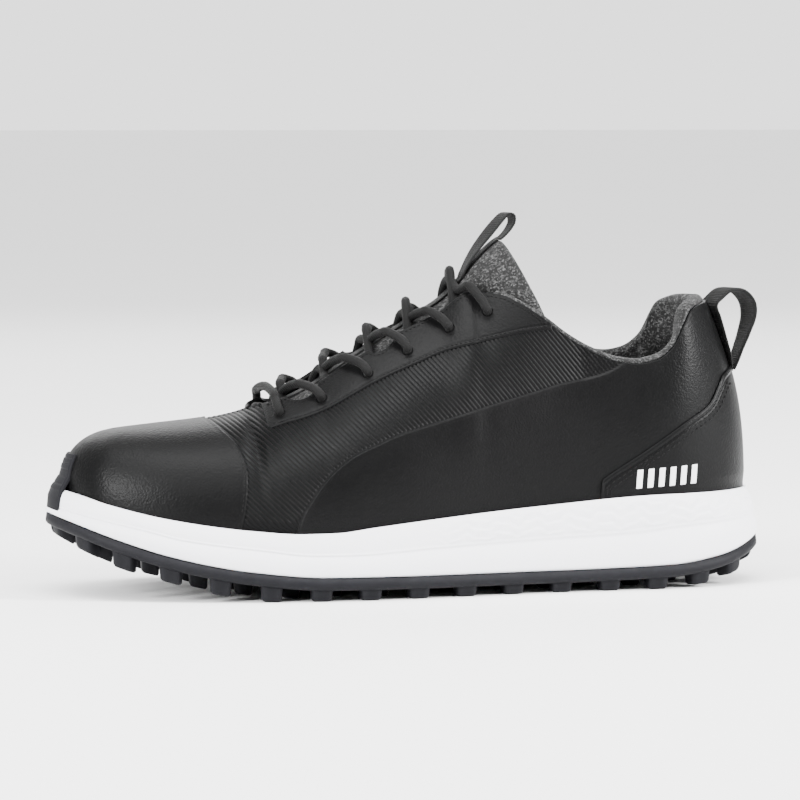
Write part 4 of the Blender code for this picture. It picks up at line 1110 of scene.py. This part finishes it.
def tread():
    count = 220
    places = ring_places(count)
    rings = []
    for step in range(6):

        def out(x, side, step=step):
            return outsole_level(x, step)[0]

        rings.append(ring(places, out, lambda x, step=step: outsole_level(x, step)[1]))
    return ringed_body(rings, count)


rubber = [tread()] + lug_blocks()
piece("outsole_tread", rubber, RUBBER_LOOK, "shell", ("outsole",), weld=False)


def toe_bumper():
    """Rubber guard over the toe tip, with shallow cast segments."""
    ends = {side: station(side, -0.1468 * SX) for side in SIDES}
    columns = []
    for t in spread(-1, 1, 91):
        side = 1 if t > 0 else -1
        s = abs(t) * ends[side]
        key = []
        for level in (0.1, 0.6, 1.1, 1.6, 2.0):
            base, n = plan(side, s)
            out, z = sole_profile(base[0], level)
            flat = plan(side, s, out + GAP)[0]
            key.append([*flat, z, *n, 0.0])
        for v in (0.27, 0.35, 0.43, 0.50):
            key.append([*skin(side, s, v, GAP), *outward(side, s, v)])
        column = rounded(key, 80)
        up = spread(0, 1, 80)
        rim = np.minimum((1 - abs(t)) * 12, np.minimum(up, 1 - up) * 34)
        cast = np.abs(up * 6 - np.round(up * 6))
        thick = BUMPER * dome(rim / 1.6) - 0.3 * MM * bump(cast, 0, 0.10) * (rim > 1.6) - GAP
        columns.append(column[:, :3] + unit(column[:, 3:]) * thick[:, None])
    return sheet_part(np.array(columns))


piece("toe_bumper_rubber", [toe_bumper()], RUBBER_LOOK, "shell", ("toe_bumper",))


def sock_liner():
    """Moulded insole: closed pad whose edges turn up a little round the foot."""
    inset = FEATHER_INSET + LEATHER + STIFFENER + KNIT + 5 * LAP + 1.2 * MM
    stations = (1 - np.cos(spread(0, math.pi, 150))) / 2
    across = spread(-1, 1, 41)
    base = BOARD + 2 * GAP
    layers = []
    for top in (True, False):
        rows = []
        for s in stations:
            a, b = plan(-1, s, -inset)[0], plan(1, s, -inset)[0]
            flat = a + (b - a) * (across[:, None] + 1) / 2
            rim = np.minimum(1 - np.abs(across), 1) * np.linalg.norm(b - a) / 2
            rim = np.minimum(rim, np.sin(math.pi * s) * 0.1 + 0.2 * MM)
            thick = LINER + 1.2 * MM * (1 - ease(0, 14 * MM, rim))
            rise = base + thick * dome((rim + 0.2 * MM) / (1.6 * MM))
            rows.append(np.concatenate([flat, (deck(flat[:, 0]) + (rise if top else base))[:, None]], 1))
        layers.append(np.array(rows))
    faces = quads(len(stations), len(across))
    parts = [(layers[0], faces), (layers[1], faces[:, ::-1])]
    border = []
    for column in (0, len(across) - 1):
        border.append(np.stack([layers[0][:, column], layers[1][:, column]]))
    for row in (0, len(stations) - 1):
        border.append(np.stack([layers[0][row], layers[1][row]]))
    return parts + [sheet_part(strip) for strip in border]


liner = piece("sock_liner_pad", sock_liner(), INSOLE_LOOK, "sock_liner", ("sock_liner",))


# ---------------------------------------------------------------- knit collar and tongue

LINING_NEAR = LEATHER + STIFFENER + 2 * LAP
LINING_FAR = LEATHER + FOAM + 2 * LAP


def lining_depth(side, s, v):
    swell = ease(0.50, 0.65, v) * ease(station(side, 0.056 * SX), station(side, 0.0695 * SX), s)
    return blend(LINING_NEAR, LINING_FAR, swell)


def lining_section(side, s):
    """Section of the lining: up the foot side, over the collar as a rolled rim, down behind the leather."""
    open_top = ease(station(side, 0.0230 * SX), station(side, 0.0340 * SX), s)
    top = blend(0.86, 1.0, open_top)
    up = spread(LOW + 0.012, top, 46)
    cushion = 1.3 * MM * bump(up, 0.86, 0.10) * ease(station(side, 0.07 * SX), station(side, 0.10 * SX), s)
    inside = skin(side, s, up, -lining_depth(side, s, up) - KNIT - cushion)
    n = outward(side, s, top)
    rise = unit(np.cross(n, np.cross(UP, n)))
    head = wall(side, s, top)
    near, far = lining_depth(side, s, top) + KNIT + cushion[-1], LEATHER * 0.5
    crown = RIM_HEIGHT * (1 + 0.5 * ease(0.86, 0.97, s)) * blend(0.3, 1.0, open_top)
    angles = spread(0.03, 0.97, 18)[:, None] * math.pi
    middle, half = (near + far) / 2, (near - far) / 2
    rim = head - n * (middle + half * np.cos(angles)) + rise * crown * np.sin(angles) ** 0.85
    behind = skin(side, s, np.array([top - 0.004, top - 0.05, top - 0.12]), -LEATHER * 1.3 - 0.4 * MM)
    return np.concatenate([inside, rim, behind])


def collar_lining():
    sections = []
    for side in SIDES:
        even = spread(station(side, -0.050 * SX), 1, 190)
        run = [lining_section(side, s) for s in even]
        sections += run if side < 0 else run[-2::-1]
    return sheet_part(np.array(sections))


lining = piece("collar_lining_knit", [collar_lining()], KNIT_LOOK, "shell", ("bootie",))

TONGUE_DROP = 5.6 * MM
TONGUE_STATIONS = [-61, -50, -38, -24, -8, 8, 20, 31, 40, 47, 53, 57.5]
CROWN_LINE = [(-62, 72.5), (-50, 77.6), (-38, 83.6), (-24, 93.2), (-8, 103.2), (7, 112.6), (16, 118.4)]
CROWN_LINE += [(23.5, 125.6), (29.5, 132.8), (34.5, 138.0), (38.2, 141.2), (41, 143)]
CROWN_X = smooth([(a * SX * MM, b[0] * SX * MM) for a, b in zip(TONGUE_STATIONS, CROWN_LINE)])
CROWN = smooth([(a * SX * MM, b[1] * MM) for a, b in zip(TONGUE_STATIONS, CROWN_LINE)])


def tongue_row(x, count=17, drop=TONGUE_DROP):
    """Points across the tongue at one station, from its outer flank over the crown to its inner flank."""
    crown = np.array([CROWN_X(x), SPINE(CROWN_X(x)), CROWN(x)])
    lift = ease(0.012 * SX, 0.040 * SX, x)
    row = []
    for t in spread(-1, 1, count):
        side = -1 if t < 0 else 1
        s = station(side, x)
        k = 2 * abs(t)
        if k >= 1:
            row.append(skin(side, s, blend(1.0, 0.80, k - 1), -drop))
            continue
        brow = skin(side, s, 1.0, -drop)
        fall = blend(k**2, 1 - math.sqrt(max(1 - k * k, 0)), lift)
        y = blend(crown[1], brow[1], k)
        row.append(np.array([blend(crown[0], brow[0], fall), y, blend(crown[2], brow[2], fall)]))
    return np.array(row)


def grid_normals(grid):
    down = np.gradient(grid, axis=0)
    across = np.gradient(grid, axis=1)
    n = unit(np.cross(down, across))
    return n if n[len(n) // 2, n.shape[1] // 2, 2] > 0 else -n


TONGUE_GRID = np.array([tongue_row(x * SX * MM, 81) for x in spread(-61, 57.5, 120)])
TONGUE_UP = grid_normals(TONGUE_GRID)


def tongue_pad():
    """Closed pad: the top face swells between its edges and rolls into the underside."""
    rows, columns = TONGUE_GRID.shape[:2]
    along_row = spread(0, 1, rows)[:, None]
    across = spread(0, 1, columns)[None, :]
    rim = np.minimum(np.minimum(along_row, 1 - along_row) * 120, np.minimum(across, 1 - across) * 90)
    swell = dome((rim + 0.15) / 2.4)[..., None] * TONGUE / 2
    middle = TONGUE_GRID - TONGUE_UP * TONGUE / 2
    top, bottom = middle + TONGUE_UP * swell, middle - TONGUE_UP * swell
    faces = quads(rows, columns)
    strips = [np.stack([top[r], bottom[r]]) for r in (0, -1)]
    strips += [np.stack([top[:, c], bottom[:, c]]) for c in (0, -1)]
    return [(top, faces), (bottom, faces[:, ::-1])] + [sheet_part(strip) for strip in strips]


tongue = piece("tongue_knit", tongue_pad(), KNIT_LOOK, "tongue", ("tongue",))


def tongue_tape():
    """Narrow woven tape down the middle of the tongue."""
    columns = TONGUE_GRID.shape[1]
    middle = columns // 2
    grid = []
    for p, n in zip(TONGUE_GRID[6:, middle], TONGUE_UP[6:, middle]):
        y = spread(-4, 4, 17)
        lift = 0.15 + 0.5 * dome((4.1 - np.abs(y)) / 0.5) - 0.012 * y * y
        grid.append(p + n * lift[:, None] * MM + np.stack([0 * y, y * MM, 0 * y], 1))
    return sheet_part(np.array(grid))


piece("tongue_tape_woven", [tongue_tape()], BINDING_LOOK, "tongue", ("tongue_binding",))

# ---------------------------------------------------------------- loops


def ribbon(path, width, thickness, rib=0.95 * MM):
    """Ribbed webbing along a path of (x, z) points, straight at its roots and twisted at its free bend."""
    path = np.stack([path[:, 0], 0 * path[:, 0], path[:, 1]], 1)
    way = unit(np.gradient(path, axis=0))
    run = np.concatenate([[0], np.cumsum(np.linalg.norm(np.diff(path, axis=0), axis=1))])
    turn = math.radians(LOOP_TWIST) * np.sin(math.pi * run / run[-1]) ** 2
    across = np.stack([-np.sin(turn), np.cos(turn), 0 * turn], 1)
    n = unit(np.cross(way, across))
    ribs = 1 + 0.16 * np.cos(2 * math.pi * run / rib)
    y = np.concatenate([spread(-1, 1, 13), spread(1, -1, 13)]) * width / 2
    face = np.concatenate([np.ones(13), -np.ones(13)])
    thin = np.where(np.abs(np.abs(y) - width / 2) < 1e-9, 0.35, 1.0)
    rings = []
    for p, m, a, k in zip(path, n, across, ribs):
        rings.append(p + np.outer(face * thin * k * thickness / 2, m) + np.outer(y, a))
    return capped(np.array(rings))


def heel_loop_path():
    key = []
    for v in (0.60, 0.64, 0.70, 0.76, 0.84, 0.91, 0.97):
        p = skin(-1, 1.0, v, GAP + WEBBING / 2 - 1.2 * MM * (1 - ease(0.61, 0.66, v)))
        key.append((p[0], p[2]))
    tip = np.array(key[-1])
    arc = [(2.6, 3.4), (6.8, 6.4), (12.2, 6.0), (16.4, 1.6), (17.2, -4.4), (15.2, -11.6), (12.8, -18.0)]
    arc += [(11.2, -22.6), (9.4, -26.6)]
    return rounded(key + [tuple(tip + np.array(d) * MM) for d in arc], 420)


TONGUE_ARC = [(24.6, 127.4), (27.6, 133.4), (31.2, 138.8), (36, 144.8), (40.4, 150), (43.6, 153)]
TONGUE_ARC += [(46.2, 152.6), (46.6, 149.6), (44.8, 146.4), (42.4, 143.8), (40.8, 142.6)]
piece(
    "heel_pull_webbing",
    [ribbon(heel_loop_path(), 13 * MM, WEBBING)],
    WEBBING_LOOK,
    "heel_loop",
    ("heel_loop",),
    weld=False,
)
piece(
    "tongue_pull_webbing",
    [ribbon(rounded(scaled(TONGUE_ARC, SX, 1), 260), 9 * MM, WEBBING * 0.7)],
    WEBBING_LOOK,
    "tongue_loop",
    ("tongue_loop",),
    weld=False,
)

# ---------------------------------------------------------------- lace

ABOVE = 1.0 * MM + GAP + LACE_CLEARANCE + 2 * GAP
BELOW = -(LEATHER + 1.6 * LAP + STIFFENER + LACE_CLEARANCE + 2 * GAP)
CORD_DROP = LEATHER + STIFFENER + 2 * LACE_CLEARANCE + 8 * GAP
TONGUE_TOP = np.concatenate([tongue_row(x * SX * MM, 25, CORD_DROP) for x in spread(-61, 52, 46)])


def through(side, k):
    """Route down through eyelet k, straight along the hole."""
    s, v = HOLES[side][k]
    return [skin(side, s, v, off) for off in (0.0030, 0.0010, -0.0012, -0.0036)]


def over_tongue(p, level, f):
    """Lowest height at which the cord clears the tongue, its tape and the strand that it crosses."""
    near = np.hypot(TONGUE_TOP[:, 0] - p[0], TONGUE_TOP[:, 1] - p[1]) < 2.2 * MM
    top = TONGUE_TOP[near, 2].max() if near.any() else -1.0
    strip = WEBBING if abs(p[1] - SPINE(p[0])) < 7 * MM else 0.0
    lap = 2 * LACE_CLEARANCE + 2 * GAP if level > 0 and abs(f - 0.5) < 0.2 else 0.0
    return top + strip + lap + LACE_CLEARANCE + 2 * GAP


def strand(side, k, level):
    """From under eyelet k, past the throat edge, over the tongue and onto eyelet k + 1 opposite."""
    s, v = HOLES[side][k]
    t, w = HOLES[-side][k + 1]
    s_mid, t_mid = blend(s, t, 0.06), blend(s, t, 0.62)
    a = skin(side, s_mid, 1.0, BELOW)
    far = skin(-side, t_mid, 1.0, ABOVE + 0.6 * MM)
    route = [skin(side, blend(s, s_mid, 0.35), blend(v, 1, 0.55), BELOW), a]
    for f in (0.12, 0.25, 0.38, 0.5, 0.62, 0.75, 0.88):
        p = blend(a, far, f)
        p[0] = blend(a[0], far[0], f**2.2)
        p[2] += (8 * f * (1 - f) + level * 1.2 * math.exp(-(((f - 0.5) / 0.2) ** 2))) * MM
        p[2] = max(p[2], over_tongue(p, level, f))
        route.append(p)
    route.append(far)
    route.append(skin(-side, blend(t_mid, t, 0.7), blend(w, 1, 0.42), ABOVE + 0.4 * MM))
    return route


def half_lace(side, level):
    """One half of the lace: down the first eyelet of a side, then to and fro up to the last eyelet."""
    points = through(side, 0)
    here = side
    for k in range(5):
        points += strand(here, k, level * (-1) ** k)
        here = -here
        points += through(here, k + 1)
    s, v = HOLES[here][5]
    ahead, last = station(here, 0.0385 * SX), station(here, 0.0475 * SX)
    points.append(skin(here, blend(s, ahead, 0.55), blend(v, 0.90, 0.5), BELOW - 0.2 * MM))
    points.append(skin(here, ahead, 0.90, BELOW))
    points.append(skin(here, last, 0.89, BELOW))
    return points


def toe_bar():
    """Straight run of lace across the first pair of eyelets."""
    (s, v), (t, w) = HOLES[-1][0], HOLES[1][0]
    a, b = skin(-1, s, blend(v, 1, 0.5), ABOVE + 0.5 * MM), skin(1, t, blend(w, 1, 0.5), ABOVE + 0.5 * MM)
    ends = skin(-1, s, 1, ABOVE + 0.7 * MM), skin(1, t, 1, ABOVE + 0.7 * MM)
    middle = (ends[0] + ends[1]) / 2 + np.array([0, 0, 2.0 * MM])
    return [b, ends[1], middle, ends[0], a]


def braid(route, radius, sides=24):
    """Round cord with lengthwise yarn ridges that swing to and fro like a braid."""
    length = float(np.linalg.norm(np.diff(np.array(route), axis=0), axis=1).sum())
    path = rounded(route, int(length / (0.42 * MM)))
    way = unit(np.gradient(path, axis=0))
    across = np.zeros_like(path)
    across[0] = unit(np.cross(way[0], UP))
    for i in range(1, len(path)):
        across[i] = unit(across[i - 1] - way[i] * (across[i - 1] @ way[i]))
    lift = np.cross(way, across)
    run = np.concatenate([[0], np.cumsum(np.linalg.norm(np.diff(path, axis=0), axis=1))])[:, None]
    angle = spread(0, 2 * math.pi, sides + 1)[None, :-1]
    yarns = np.abs(np.sin(4 * angle + 0.5 * np.sin(2 * math.pi * run / (5 * MM))))
    knots = np.cos(2 * math.pi * run / (1.1 * MM) + 4 * angle)
    size = radius * (0.93 + 0.09 * yarns + 0.02 * knots)
    spin = across[:, None] * np.cos(angle)[..., None] + lift[:, None] * np.sin(angle)[..., None]
    return capped(path[:, None] + spin * size[..., None])


LACE_ROUTE = half_lace(1, -1)[::-1] + toe_bar() + half_lace(-1, 1)
cord = braid(LACE_ROUTE, LACE_RADIUS)
piece("lace_braided", [cord], LACE_LOOK, "shell", ("lace",), weld=False)

# ---------------------------------------------------------------- CAD nodes that stay

KEPT = {
    "aglet_left": SHANK_LOOK,
    "aglet_right": SHANK_LOOK,
    "collar_foam": PADDING_LOOK,
    "eyestay_backer_lateral": BACKER_LOOK,
    "eyestay_backer_medial": BACKER_LOOK,
    "heel_counter": BOARD_LOOK,
    "shank": SHANK_LOOK,
    "strobel_board": BOARD_LOOK,
    "toe_puff": BOARD_LOOK,
    "vamp_lining": KNIT_LOOK,
}
for name, look in KEPT.items():
    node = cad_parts[name]
    node.data.materials.clear()
    node.data.materials.append(look)

# ---------------------------------------------------------------- studio


FLOOR_HALF = 40.0


def floor():
    mesh = bpy.data.meshes.new("floor")
    corners = [(FLOOR_HALF * x, FLOOR_HALF * y, 0) for x, y in ((-1, -1), (1, -1), (1, 1), (-1, 1))]
    mesh.from_pydata(corners, [], [(0, 1, 2, 3)])
    obj = bpy.data.objects.new("floor", mesh)
    look = Look("pale_floor", Specular_IOR_Level=0.2)
    clouds = look.noise(3.0, 2.0)
    base = look.mix(clouds, (0.90, 0.90, 0.90), (0.92, 0.92, 0.92))
    look.feed(Base_Color=base, Roughness=0.7 + clouds * 0.1)
    mesh.materials.append(look.material)
    bpy.context.scene.collection.objects.link(obj)


def softbox(name, place, aim, size, power):
    light = bpy.data.lights.new(name, "AREA")
    light.shape = "RECTANGLE"
    light.size, light.size_y = size
    light.energy = power
    obj = bpy.data.objects.new(name, light)
    bpy.context.scene.collection.objects.link(obj)
    obj.location = place
    way = np.array(aim) - np.array(place)
    obj.rotation_euler = Vector(way).to_track_quat("-Z", "Y").to_euler()


def ceiling():
    """Broad soft light from above and a little in front, even over the whole floor."""
    light = bpy.data.lights.new("ceiling", "SUN")
    light.energy = 4.4
    light.angle = math.radians(70)
    obj = bpy.data.objects.new("ceiling", light)
    bpy.context.scene.collection.objects.link(obj)
    obj.rotation_euler = (math.radians(24), math.radians(-10), 0)


ROOM_LIGHT, BACK_LIGHT = 0.4, 2.15


def studio():
    floor()
    softbox("top_box", (-0.1, -0.25, 1.3), (0, 0, 0.05), (1.3, 0.5), 22)
    softbox("toe_box", (-1.5, -0.9, 0.75), (-0.1, 0, 0.05), (0.35, 0.9), 75)
    softbox("heel_box", (1.4, -0.7, 0.8), (0.1, 0, 0.08), (0.3, 0.9), 88)
    softbox("back_box", (0.2, 1.8, 1.2), (0, 0, 0.1), (2.0, 0.7), 24)
    ceiling()
    world = bpy.data.worlds.new("pale_room")
    bpy.context.scene.world = world
    world.use_nodes = True
    tree = world.node_tree
    shade = tree.nodes["Background"]
    way = tree.nodes.new("ShaderNodeTexCoord")
    parts = tree.nodes.new("ShaderNodeSeparateXYZ")
    rise = tree.nodes.new("ShaderNodeMapRange")
    rise.interpolation_type = "SMOOTHSTEP"
    for key, value in (("From Min", 0.3), ("From Max", 0.9), ("To Min", ROOM_LIGHT), ("To Max", BACK_LIGHT)):
        rise.inputs[key].default_value = value
    tree.links.new(way.outputs["Generated"], parts.inputs[0])
    tree.links.new(parts.outputs["Y"], rise.inputs["Value"])
    tree.links.new(rise.outputs[0], shade.inputs["Strength"])
    shade.inputs["Color"].default_value = (1, 1, 1, 1)


CAMERA_TURN, CAMERA_RISE, CAMERA_DISTANCE = math.radians(-12), math.radians(4), 1.7


def camera():
    data = bpy.data.cameras.new("camera")
    data.sensor_width = 36
    data.lens = 186
    obj = bpy.data.objects.new("camera", data)
    bpy.context.scene.collection.objects.link(obj)
    way = Vector(
        (
            math.sin(CAMERA_TURN) * math.cos(CAMERA_RISE),
            -math.cos(CAMERA_TURN) * math.cos(CAMERA_RISE),
            math.sin(CAMERA_RISE),
        )
    )
    target = Vector((-0.0027, 0.0, 0.0768))
    obj.location = target + way * CAMERA_DISTANCE
    obj.rotation_euler = (-way).to_track_quat("-Z", "Y").to_euler()
    bpy.context.scene.camera = obj


studio()
camera()
